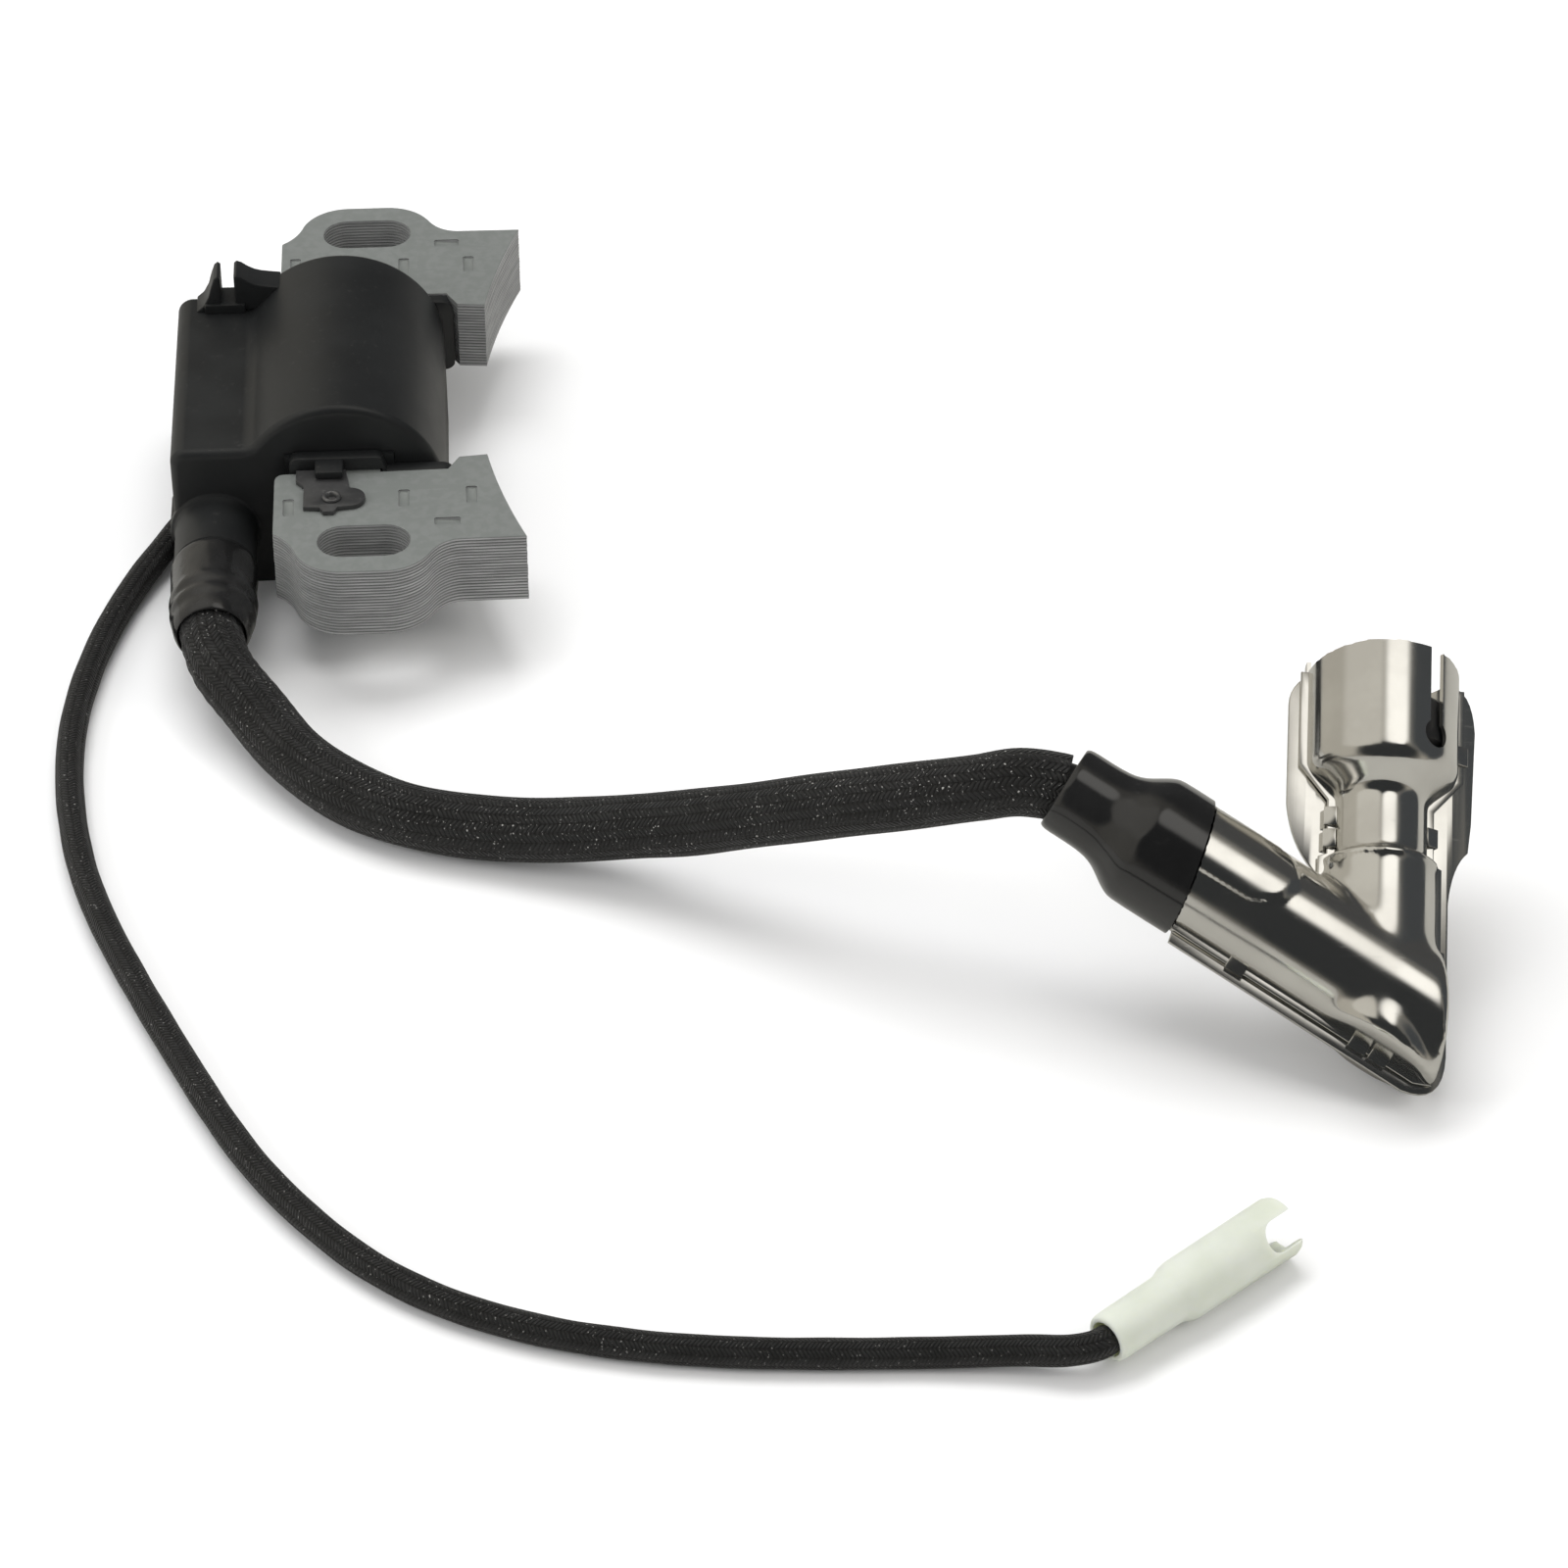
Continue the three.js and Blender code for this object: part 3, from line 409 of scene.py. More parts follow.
# %% [markdown]
# ## Floor, room and lamps
# The coil lies on a plain pale sheet. Around it stands a bright soft room, since bare metal shows only what it
# reflects: the room is warm grey, with a dark patch behind the viewer, dark walls to the right and the back and
# bright windows overhead, which give the chromed cap its broad streaks. Reflections see the sheet darker than
# it is. Three soft area lamps do the rest, and reflections leave them out, so glossy rubber shows no squares.

# %% Floor
def fresh():
    if bpy.context.object and bpy.context.object.mode != "OBJECT":
        bpy.ops.object.mode_set(mode="OBJECT")
    bpy.ops.object.select_all(action="DESELECT")


fresh()
bpy.ops.mesh.primitive_plane_add(size=6, location=(0.05, 0.3, 0))
floor = bpy.context.object
floor.name = "floor"
bpy.ops.object.transform_apply(location=True, rotation=True, scale=True)
paper = finish("pale sheet", grey(0.83), grey(0.85), 0.75, grain=900.0, tooth=0.02, mottle=4.0)
floor.data.materials.append(paper)
tree = paper.node_tree
pale = tree.nodes["Principled BSDF"].inputs["Base Color"]
mirrored = add_node(tree, "ShaderNodeLightPath").outputs["Is Glossy Ray"]
tree.links.new(mix_colour(tree, mirrored, pale.links[0].from_socket, grey(0.40, (1.0, .98, .91))), pale)
bpy.context.scene.view_settings.view_transform = "Standard"
print("floor laid")

# %% Room
room = bpy.data.worlds.new("soft room")
room.use_nodes = True
air = room.node_tree
backdrop = air.nodes["Background"]
way = add_node(air, "ShaderNodeTexCoord").outputs["Generated"]
facing = add_node(air, "ShaderNodeVectorMath", {0: way}, operation="NORMALIZE").outputs[0]
glossy_room = (0.40, 0.375, 0.325, 1)
PATCHES = [  # where each lies, how close to that way it starts and is full, and its tone
    ((-0.88, 0.15, 0.45), 0.45, 0.72, (0.58, 0.55, 0.48, 1)),
    ((0.05, -0.78, 0.60), 0.60, 0.82, (0.035, 0.037, 0.038, 1)),
    ((0.94, 0.20, 0.22), 0.60, 0.84, (0.07, 0.075, 0.08, 1)),
    ((0.45, 0.80, 0.40), 0.72, 0.90, (0.08, 0.08, 0.08, 1)),
    ((0.31, -0.08, 0.945), 0.94, 0.985, (1.5, 1.46, 1.38, 1)),
    ((-0.45, 0.05, 0.89), 0.84, 0.93, (0.75, 0.72, 0.65, 1)),
]
for aim, edge, closest, tone in PATCHES:
    along = add_node(air, "ShaderNodeVectorMath", {0: facing, 1: Vector(aim).normalized()},
                     operation="DOT_PRODUCT").outputs["Value"]
    glossy_room = mix_colour(air, smooth_range(air, along, edge, closest), glossy_room, tone)
rays = add_node(air, "ShaderNodeLightPath").outputs
lit = mix_colour(air, rays["Is Glossy Ray"], grey(0.80), glossy_room)
fill(air, backdrop.inputs, {"Color": mix_colour(air, rays["Is Camera Ray"], lit, grey(0.97)), "Strength": 0.85})
bpy.context.scene.world = room
print("room ready")


# %% Lamps
def soft_lamp(name, place, aim, size, power, tint=(1, 1, 1)):
    light = bpy.data.lights.new(name, "AREA")
    light.shape = "RECTANGLE"
    light.size, light.size_y = size
    light.energy = power
    light.color = tint
    made = bpy.data.objects.new(name, light)
    made.location = place
    made.rotation_mode = "QUATERNION"
    made.rotation_quaternion = (Vector(aim) - Vector(place)).to_track_quat("-Z", "Y")
    bpy.context.scene.collection.objects.link(made)
    made.visible_glossy = False
    return made


lamps = [
    soft_lamp("overhead lamp", (-0.10, 0.30, 1.0), (0.03, -0.05, 0), (0.9, 0.5), 7.5),
    soft_lamp("left lamp", (-0.95, -0.35, 0.65), (0.0, -0.05, 0), (0.5, 0.5), 3.5),
    soft_lamp("right lamp", (0.90, -0.55, 0.75), (0.1, -0.1, 0), (0.35, 0.6), 3.0, (1.0, .97, .92)),
]
print(len(lamps), "lamps hung")

# %% [markdown]
# ## Modelling helpers
# Pieces start as primitives at their real size, get their shape from edit-mode operators and modifiers, and
# end with their place in the mesh. These helpers hold the moves that repeat: settling a piece at the origin,
# turning a profile on an axis, raising a flat outline, cutting one solid with another, rounding edges.

# %% Settle, boxes and rods
def take(*pieces):
    fresh()
    for piece in pieces:
        piece.select_set(True)
    bpy.context.view_layer.objects.active = pieces[0]


@contextmanager
def editing(piece, select="SELECT"):
    """Edit mode on one piece, with all of it selected, or none, or what was selected before."""
    take(piece)
    bpy.ops.object.mode_set(mode="EDIT")
    if select:
        bpy.ops.mesh.select_all(action=select)
    yield
    bpy.ops.object.mode_set(mode="OBJECT")


def settle(name, place=None):
    piece = bpy.context.object
    piece.name = name
    bpy.context.view_layer.update()
    if place is not None:
        piece.matrix_world = place @ piece.matrix_world
    take(piece)
    bpy.ops.object.transform_apply(location=True, rotation=True, scale=True)
    return piece


def add_box(name, low, high, place=None):
    fresh()
    low, high = Vector(low), Vector(high)
    bpy.ops.mesh.primitive_cube_add(size=1, location=(low + high) / 2 * MM)
    bpy.context.object.scale = (high - low) * MM
    return settle(name, place)


def add_rod(name, start, end, radius, sides=64, place=None):
    fresh()
    start, end = Vector(start), Vector(end)
    bpy.ops.mesh.primitive_cylinder_add(vertices=sides, radius=radius * MM, depth=(end - start).length * MM,
                                        location=(start + end) / 2 * MM)
    bpy.context.object.rotation_mode = "QUATERNION"
    bpy.context.object.rotation_quaternion = (end - start).to_track_quat("Z", "Y")
    return settle(name, place)


COIL = Matrix.Translation((COIL_X * MM, 0, 0))
print("boxes and rods ready")


# %% Turned pieces
WELD, FINE_WELD = 0.00002, 0.000005  # how close points must be to merge, in metres


def turned(name, profile, steps=64, place=None):
    """A profile of (along, radius) pairs in millimetres, turned about X."""
    fresh()
    bpy.ops.mesh.primitive_plane_add(size=MM)
    with editing(bpy.context.object):
        bpy.ops.mesh.select_mode(type="VERT")
        bpy.ops.mesh.merge(type="CENTER")
        here = Vector((profile[0][0], 0, profile[0][1]))
        bpy.ops.transform.translate(value=here * MM)
        for along, radius in profile[1:]:
            there = Vector((along, 0, radius))
            bpy.ops.mesh.extrude_region_move(TRANSFORM_OT_translate={"value": (there - here) * MM})
            here = there
        bpy.ops.mesh.select_all(action="SELECT")
        bpy.ops.mesh.spin(steps=steps, angle=math.tau, center=(0, 0, 0), axis=(1, 0, 0))
        bpy.ops.mesh.select_all(action="SELECT")
        bpy.ops.mesh.remove_doubles(threshold=WELD)
        bpy.ops.mesh.normals_make_consistent(inside=False)
    return settle(name, place)


ALONG_Y = Matrix.Rotation(math.pi / 2, 4, "Z")


def on_tower(x, z):
    return COIL @ Matrix.Translation((x * MM, 0, z * MM)) @ ALONG_Y


print("turning ready")


# %% Raised outlines
def bend(start, control, end, steps=8):
    start, control, end = Vector(start), Vector(control), Vector(end)
    parts = [i / steps for i in range(1, steps + 1)]
    return [tuple(start * (1 - t) ** 2 + control * 2 * t * (1 - t) + end * t * t) for t in parts]


def arc(centre, radius, start, end, steps=16):
    turns = [math.radians(start + (end - start) * i / steps) for i in range(steps + 1)]
    return [(centre[0] + radius * math.cos(t), centre[1] + radius * math.sin(t)) for t in turns]


def raised(name, loops, low, high, edge=0.0, rounds=1, place=None):
    """Closed loops of (x, y) millimetres, the first one outside and the rest holes, raised from low to high."""
    fresh()
    flat = bpy.data.curves.new(name, "CURVE")
    flat.dimensions = "2D"
    flat.fill_mode = "BOTH"
    for loop in loops:
        line = flat.splines.new("POLY")
        line.points.add(len(loop) - 1)
        for point, (x, y) in zip(line.points, loop):
            point.co = (x * MM, y * MM, 0, 1)
        line.use_cyclic_u = True
    flat.extrude = (high - low) / 2 * MM - edge * MM
    flat.bevel_depth = edge * MM
    flat.bevel_resolution = rounds
    flat.offset = -edge * MM
    piece = bpy.data.objects.new(name, flat)
    bpy.context.scene.collection.objects.link(piece)
    take(piece)
    bpy.ops.object.convert(target="MESH")
    piece = bpy.context.object
    with editing(piece):
        bpy.ops.mesh.remove_doubles(threshold=FINE_WELD)
        bpy.ops.mesh.normals_make_consistent(inside=False)
    piece.location = (0, 0, (low + high) / 2 * MM)
    bpy.context.view_layer.update()
    return settle(name, place)


# A section drawn in X and Z, run along Y.
STANDING = Matrix.Rotation(math.pi / 2, 4, "X")


def section(name, loops, y_low, y_high, edge=0.0, rounds=1):
    return raised(name, loops, -y_high, -y_low, edge, rounds, COIL @ STANDING)


print("outlines ready")


# %% Cutting, joining, rounding
def apply_modifier(piece, kind, **settings):
    take(piece)
    made = piece.modifiers.new(kind.lower(), kind)
    for name, value in settings.items():
        setattr(made, name, value)
    bpy.ops.object.modifier_apply(modifier=made.name)
    return piece


def combine(piece, *tools, operation="DIFFERENCE"):
    for tool in tools:
        apply_modifier(piece, "BOOLEAN", object=tool, operation=operation, solver="EXACT")
        bpy.data.objects.remove(tool)
    return piece


def round_edges(piece, width, segments=2, angle=40):
    return apply_modifier(piece, "BEVEL", width=width * MM, segments=segments, limit_method="ANGLE",
                          angle_limit=math.radians(angle), use_clamp_overlap=True)


def smooth(piece, angle=35):
    take(piece)
    bpy.ops.object.shade_smooth_by_angle(angle=math.radians(angle))
    return piece


def shift_copy(piece, name, move, place=Matrix.Identity(4)):
    take(piece)
    bpy.ops.object.duplicate()
    bpy.context.object.matrix_world = place @ Matrix.Translation(Vector(move) * MM)
    return settle(name)


def give(piece, body, slot, *nodes, finish_name=None):
    piece.data.materials.clear()
    piece.data.materials.append(FINISHES[finish_name or slot])
    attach(piece, body)
    if nodes:
        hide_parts(*nodes)
    return piece


print("cutting tools ready")

# %% [markdown]
# ## Cord routes
# The plug lead and the stop wire leave the case at its left front. The lead is stiff 7 mm cable: it sinks from
# the outlet to the floor, then climbs to where the cap's arm holds it up. The stop wire is thin and lies on the
# floor all the way to its connector. Each follows one smooth curve through measured points: a centripetal
# Catmull-Rom curve, because it passes through every point without looping.

# %% Routes
LEAD_ROUTE = [
    (-21.6, -28.2, 9.3), (-21.6, -36.0, 9.3), (-21.6, -44.5, 9.2), (-20.0, -50.6, 8.2), (-15.6, -57.4, 6.3),
    (-10.1, -66.1, 4.9), (-3.3, -73.6, 4.52), (3.3, -78.4, 4.52), (9.9, -81.3, 4.6), (16.5, -83.4, 5.0),
    (23.1, -85.3, 5.9), (29.7, -87.2, 7.4), (36.2, -89.5, 9.5), (42.7, -92.3, 12.1), (49.1, -95.0, 15.0),
    (55.4, -97.7, 18.0), (61.7, -100.5, 21.1), (67.9, -103.2, 24.0), (74.0, -105.4, 26.5),
    (80.0, -107.3, 28.8), (85.6, -108.2, 30.2), (91.8, -109.4, 29.4), (95.4, -111.3, 27.7),
    (101.2, -114.3, 25.0), (110.2, -119.0, 20.8), (118.7, -123.4, 16.8),
]
WIRE_ROUTE = [
    (-24.6, -5.8, 3.2), (-27.0, -9.9, 3.2), (-29.6, -14.4, 2.6), (-33.0, -21.2, 2.1), (-36.9, -32.3, 2.05),
    (-39.5, -43.4, 2.05), (-40.9, -54.4, 2.05), (-41.0, -65.1, 2.05), (-40.0, -75.8, 2.05),
    (-38.1, -86.2, 2.05), (-35.1, -96.4, 2.05), (-31.3, -106.5, 2.05), (-27.2, -116.4, 2.05),
    (-23.0, -126.1, 2.05), (-18.7, -135.6, 2.05), (-13.8, -145.0, 2.05), (-7.6, -154.2, 2.05),
    (0.4, -163.4, 2.05), (9.5, -170.4, 2.05), (21.0, -175.9, 2.05), (33.2, -179.3, 2.05),
    (45.0, -181.1, 2.05), (57.0, -182.0, 2.05), (69.0, -182.6, 2.2), (80.0, -183.6, 3.0),
    (85.5, -184.6, 3.7), (89.0, -184.15, 4.08), (91.6, -182.13, 4.12), (94.5, -179.82, 4.12),
]


def catmull_rom(route, steps=24):
    """Points close together along the centripetal curve through a route, ends included."""
    points = [np.array(p, float) for p in route]
    points.insert(0, 2 * points[0] - points[1])
    points.append(2 * points[-1] - points[-2])
    line = []
    for a, b, c, d in zip(points, points[1:], points[2:], points[3:]):
        t = np.cumsum([0.0] + [math.sqrt(np.linalg.norm(q - p)) for p, q in ((a, b), (b, c), (c, d))])
        for u in np.linspace(t[1], t[2], steps, endpoint=False):
            ab = a + (b - a) * (u - t[0]) / (t[1] - t[0])
            bc = b + (c - b) * (u - t[1]) / (t[2] - t[1])
            cd = c + (d - c) * (u - t[2]) / (t[3] - t[2])
            abc = ab + (bc - ab) * (u - t[0]) / (t[2] - t[0])
            bcd = bc + (cd - bc) * (u - t[1]) / (t[3] - t[1])
            line.append(abc + (bcd - abc) * (u - t[1]) / (t[2] - t[1]))
    line.append(points[-2])
    return np.array([tuple(at(*p)) for p in line])


def run_of(line):
    return np.concatenate([[0.0], np.cumsum(np.linalg.norm(np.diff(line, axis=0), axis=1))])


def evenly(line, start, end, count):
    """Points of a line at equal distances from start to end, which are lengths along it."""
    run = run_of(line)
    wanted = np.linspace(start, end, count)
    return np.stack([np.interp(wanted, run, line[:, i]) for i in range(3)], axis=1)


LEAD_LINE = catmull_rom(LEAD_ROUTE)
WIRE_LINE = catmull_rom(WIRE_ROUTE)
LEAD_LONG = float(run_of(LEAD_LINE)[-1])
WIRE_LONG = float(run_of(WIRE_LINE)[-1])
print(f"plug lead {LEAD_LONG * 1000:.1f} mm, stop wire {WIRE_LONG * 1000:.1f} mm")


# %% Lead and wire as curves
def cord_curve(name, line, radius, rings):
    run = float(run_of(line)[-1])
    curve = bpy.data.curves.new(name, "CURVE")
    curve.dimensions = "3D"
    curve.bevel_depth = radius * MM
    curve.bevel_resolution = 8
    curve.use_fill_caps = True
    spline = curve.splines.new("POLY")
    points = evenly(line, 0, run, rings)
    spline.points.add(len(points) - 1)
    for point, place in zip(spline.points, points):
        point.co = (*place, 1)
    spline.use_smooth = True
    piece = bpy.data.objects.new(name, curve)
    bpy.context.scene.collection.objects.link(piece)
    return piece


lead = cord_curve("lead", LEAD_LINE, 3.5, 260)
wire = cord_curve("wire", WIRE_LINE, 1.1, 360)
give(lead, "coil", "lead_rubber", "plug_lead")
give(wire, "coil", "lead_rubber", "stop_wire")
print("two cords laid")

# %% [markdown]
# ## Braided sleeves
# Both cords wear a braided glass sleeve, a loose sock of strands in a herringbone. At this scale a strand is
# half a millimetre, so the tube itself carries only the sag and bunching of the sock, and the strands come from
# the finish. The tube's UV map is laid out in metres, across and along, so the finish can follow the cord.

# %% Sleeve tube
def sleeve_tube(name, line, start, end, radius, wall, sides, rings):
    """radius is a function of the length along the sleeve in mm and the turn, and gives mm."""
    points = evenly(line, start, end, rings)
    ways = np.gradient(points, axis=0)
    ways /= np.linalg.norm(ways, axis=1)[:, None]
    up = np.array([0.0, 0.0, 1.0])
    step = (end - start) / (rings - 1) / MM
    mesh = bmesh.new()
    grid = []
    for ring, (middle, forward) in enumerate(zip(points, ways)):
        across = np.cross(forward, up)
        across /= np.linalg.norm(across)
        lift = np.cross(across, forward)
        row = []
        for side in range(sides):
            turn = math.tau * side / sides
            far = radius(ring * step, turn) * MM
            row.append(mesh.verts.new(middle + far * (math.cos(turn) * across + math.sin(turn) * lift)))
        grid.append(row)
    layer = mesh.loops.layers.uv.new("UVMap")
    girth = math.tau * radius(0.5 * step * rings, 0.0) * MM
    for ring in range(rings - 1):
        for side in range(sides):
            after = (side + 1) % sides
            face = mesh.faces.new((grid[ring][side], grid[ring][after], grid[ring + 1][after],
                                   grid[ring + 1][side]))
            corners = ((side, ring), (side + 1, ring), (side + 1, ring + 1), (side, ring + 1))
            for loop, (u, v) in zip(face.loops, corners):
                loop[layer].uv = (girth * u / sides, v * step * MM)
            face.smooth = True
    data = bpy.data.meshes.new(name)
    mesh.normal_update()
    mesh.to_mesh(data)
    mesh.free()
    piece = bpy.data.objects.new(name, data)
    bpy.context.scene.collection.objects.link(piece)
    with editing(piece):
        bpy.ops.mesh.normals_make_consistent(inside=False)
    return apply_modifier(piece, "SOLIDIFY", thickness=wall * MM, offset=-1.0)


LEAD_STEP, WIRE_STEP = LEAD_LONG / 37, WIRE_LONG / 40
SOCK_START, SOCK_END = 2 * LEAD_STEP, 30.45 * LEAD_STEP  # between them the braid covers the lead
SOCK_LONG = (SOCK_END - SOCK_START) / MM
FRAY = 2.0  # length of the frayed end


def lead_sock(run, turn):
    bunch = math.exp(-run / 9.0)
    slack = 0.08 * math.sin(run * 0.31 + 0.9) * math.sin(2 * turn + run * 0.07)
    ripple = 0.28 * bunch * math.sin(run * 2.6 + 0.8 * math.sin(turn + 0.6))
    fray = 0.25 * max(0.0, (run - SOCK_LONG + FRAY) / FRAY) * (0.6 + 0.4 * math.sin(7 * turn))
    return 4.38 + slack + ripple * 0.7 + fray * 0.6


def wire_sock(run, turn):
    return 1.96 + 0.03 * math.sin(run * 0.6) * math.sin(2 * turn + run * 0.11)


lead_sleeve = sleeve_tube("lead_sock", LEAD_LINE, SOCK_START, SOCK_END, lead_sock, 0.45, 64, 640)
wire_sleeve = sleeve_tube("wire_sock", WIRE_LINE, 0.5 * WIRE_STEP, 39.2 * WIRE_STEP, wire_sock, 0.35, 36, 900)
give(lead_sleeve, "coil", "braid", "lead_sleeve")
give(wire_sleeve, "coil", "braid", "wire_sleeve", finish_name="fine_braid")
print("sleeve triangles:", [2 * len(s.data.polygons) for s in (lead_sleeve, wire_sleeve)])

# %% [markdown]
# ## Laminated core
# The core is a stack of 22 steel sheets, half a millimetre each, punched and locked together by small dimples.
# One sheet is raised from its outline with a hair of a chamfer and then copied. The chamfers and the finish
# draw the fine lines along the sides. A press never stacks quite true, so each copy is off by a few hundredths.

# %% Sheet outline
AXIS_X, AXIS_Z = -3.5, 15.0
LEG_IN = 22.25


def leg_loop():
    """Half of the outline, for the leg at +Y."""
    loop = [(AXIS_X + 5.75, LEG_IN), (11.8, 22.05), (13.4, 19.2), (17.4, 18.8)]
    for i in range(1, 13):
        t = i / 12
        loop.append((17.4 + 5.3 * t - 2.0 * t * (1 - t), 18.8 + 19.8 * t))
    loop += [(13.5, 38.7)] + bend((13.5, 38.7), (10.6, 38.9), (9.05, 42.05), 8)
    loop += arc((2.9, 38.5), 7.1, 30, 90, 10)[1:] + arc((-2.9, 38.5), 7.1, 90, 165.6, 12)
    loop += bend(loop[-1], (-10.6, 37.9), (-12.6, 36.4), 8)
    loop += [(-12.7, 36.2), (-12.7, 23.85)] + bend((-12.7, 23.85), (-12.7, LEG_IN), (-11.1, LEG_IN), 5)
    return loop + [(AXIS_X - 5.75, LEG_IN)]


def slot_loop(y):
    return arc((2.9, y), 3.6, -90, 90, 14) + arc((-2.9, y), 3.6, 90, 270, 14)


half_loop = leg_loop()
sheet_loops = [half_loop + [(x, -y) for x, y in reversed(half_loop)], slot_loop(38.5), slot_loop(-38.5)]
sheet = raised("sheet", sheet_loops, 0, SHEET, edge=0.07, rounds=0, place=COIL)
print("one sheet:", len(sheet.data.polygons), "faces")

# %% Stack
random.seed(7)
sheets = []
for number in range(1, SHEETS + 1):
    off = (random.uniform(-0.03, 0.03), random.uniform(-0.03, 0.03), CORE_LOW + SHEET * (number - 1))
    sheets.append(shift_copy(sheet, f"sheet_{number:02d}", off))
bpy.data.objects.remove(sheet)
print(len(sheets), "sheets stacked")

# %% [markdown]
# The dimples are pressed ramps: each slopes down along its length to a small step. A wedge cut into the top
# sheet gives that ramp. Its deep end goes just through the sheet, onto the one below.

# %% Dimples
WEDGE_DEEP, WEDGE_SLOPE, WEDGE_SUNK = 0.36, 0.18, 0.2


def dimple(x, y, long_x, long_y):
    wedge = add_box("wedge", (-long_x / 2, -long_y / 2, -WEDGE_DEEP), (long_x / 2, long_y / 2, 0.6))
    with editing(wedge, "DESELECT"):
        pass
    for corner in wedge.data.vertices:
        ahead = corner.co.y if long_y > long_x else -corner.co.x
        corner.select = corner.co.z < 0 and ahead > 0
    with editing(wedge, None):
        bpy.ops.transform.translate(value=(0, 0, WEDGE_SLOPE * MM))
    round_edges(wedge, 0.35, 3)
    wedge.matrix_world = Matrix.Translation(at(x, y, CORE_TOP - WEDGE_SUNK))
    return settle("wedge")


DIMPLES = [(-10.6, -30.3, 1.6, 4.0), (5.6, -28.8, 1.6, 4.0), (15.1, -28.4, 1.6, 4.0), (11.7, -34.5, 3.7, 1.7),
           (5.5, 29.65, 1.6, 4.0), (15.1, 29.7, 1.6, 4.0), (11.9, 35.5, 3.7, 1.7), (-10.6, 30.3, 1.6, 4.0)]
combine(sheets[-1], *[dimple(*place) for place in DIMPLES])
for number, piece in enumerate(sheets, 1):
    give(smooth(piece, 30), "coil", "core_steel", f"lamination_{number:02d}")
print(len(DIMPLES), "dimples pressed into the top sheet")

# %% [markdown]
# ## Moulded case
# The black case holds both windings: a round barrel over the core's crossbar and a box beside it for the
# electronics, cast in one piece and filled from below with resin. Its section is drawn once, across the
# winding, with a fillet where the box top meets the barrel, and run along Y. The section reaches below the
# floor and is then cut off flat, so that the rounded ends don't round the rim too.

# %% Case section
CASE_R, CASE_HALF, CASE_WALL = 14.8, 19.8, 1.8
BOX_LEFT, BOX_TOP = -27.5, 22.9


def case_loop(wall, floor_z, fillet):
    radius, left, top = CASE_R - wall, BOX_LEFT + wall, BOX_TOP - wall
    corner = max(2.2 - wall, 0.5)
    rise = top + fillet - AXIS_Z
    side = math.sqrt((radius + fillet) ** 2 - rise ** 2)
    centre = (AXIS_X - side, top + fillet)
    meet = math.degrees(math.atan2(rise, -side))
    loop = [(left, floor_z), (AXIS_X + radius, floor_z)]
    loop += arc((AXIS_X, AXIS_Z), radius, 0, meet, 56)
    loop += arc(centre, fillet, meet - 180, -90, 8)
    return loop + arc((left + corner, top - corner), corner, 90, 180, 8)


shell = section("coil_shell", [case_loop(0, -4, 2.6)], -CASE_HALF, CASE_HALF, edge=1.2, rounds=4)
with editing(shell):
    bpy.ops.mesh.bisect(plane_co=(0, 0, 0), plane_no=(0, 0, 1), clear_inner=True, use_fill=True)
print("case blank:", len(shell.data.polygons), "faces")

# %% [markdown]
# The high-tension outlet is a short stepped tower on the front, and on the back corner of the box top stands
# a clip of two prongs that guides a wire. Tower and clip are shaped on their own and then joined, while the
# room inside, the windows for the core and the notch for the stop wire are cut out of the sum.

# %% Tower and clip
TOWER_X, TOWER_Z = -21.6, 9.3
tower = turned("tower", [(-18.6, 0), (-18.6, 6.5), (-19.8, 6.5), (-20.1, 6.12), (-20.7, 5.92), (-21.4, 5.86),
                         (-29.1, 5.86), (-29.5, 5.5), (-29.6, 5.3), (-37.6, 5.3), (-38.0, 5.0), (-38.0, 0)],
               72, on_tower(TOWER_X, TOWER_Z))
foot = round_edges(add_box("foot", (-23.4, 14.9, 21.5), (-17.4, CASE_HALF, 24.4), COIL), 0.35)
LEFT_PRONG = [(-24.6, 22.0), (-24.6, 23.0), (-23.6, 23.9), (-22.8, 25.4), (-22.3, 27.2), (-21.8, 28.6),
              (-21.3, 29.0), (-20.9, 28.7), (-20.9, 22.0)]
RIGHT_PRONG = [(-18.9, 23.0), (-18.9, 28.8), (-18.5, 29.1), (-17.8, 28.8), (-16.9, 28.1), (-16.0, 27.6),
               (-15.0, 27.3), (-13.8, 27.1), (-12.2, 26.9), (-12.2, 24.0), (-17.0, 23.0)]
prongs = [section("prong", [loop], 15.4, CASE_HALF - 0.1, edge=0.25) for loop in (LEFT_PRONG, RIGHT_PRONG)]
combine(shell, tower, foot, *prongs, operation="UNION")
print("tower and clip joined")

# %% Rooms and windows
inside = CASE_HALF - CASE_WALL
room_in = section("room_in", [case_loop(CASE_WALL, -2, 1.0)], -inside, inside, edge=0.5)
window = add_box("window", (AXIS_X - 7.75, -30, 7.75), (AXIS_X + 7.75, 30, 22.25), COIL)
bore = add_rod("bore", (TOWER_X, -40, TOWER_Z), (TOWER_X, -15, TOWER_Z), 3.9, 48, COIL)
notch = add_box("notch", (BOX_LEFT - 1, -15.5, -1), (BOX_LEFT + 3, -5.5, 6.4), COIL)
combine(shell, room_in, window, bore, notch)
smooth(shell, 32)
apply_modifier(shell, "WEIGHTED_NORMAL", keep_sharp=True)
give(shell, "coil", "case_plastic", "coil_case")
print("case:", len(shell.data.polygons), "faces")

# %% [markdown]
# ## Collars, tag and rivet
# Between the case and each leg sits a black moulded collar that centres the winding tube on the crossbar. On
# the near leg the winding's earth tag lies under a tongue of the collar and is riveted to the stack. The
# collars and the tag are raised outlines with softened edges.

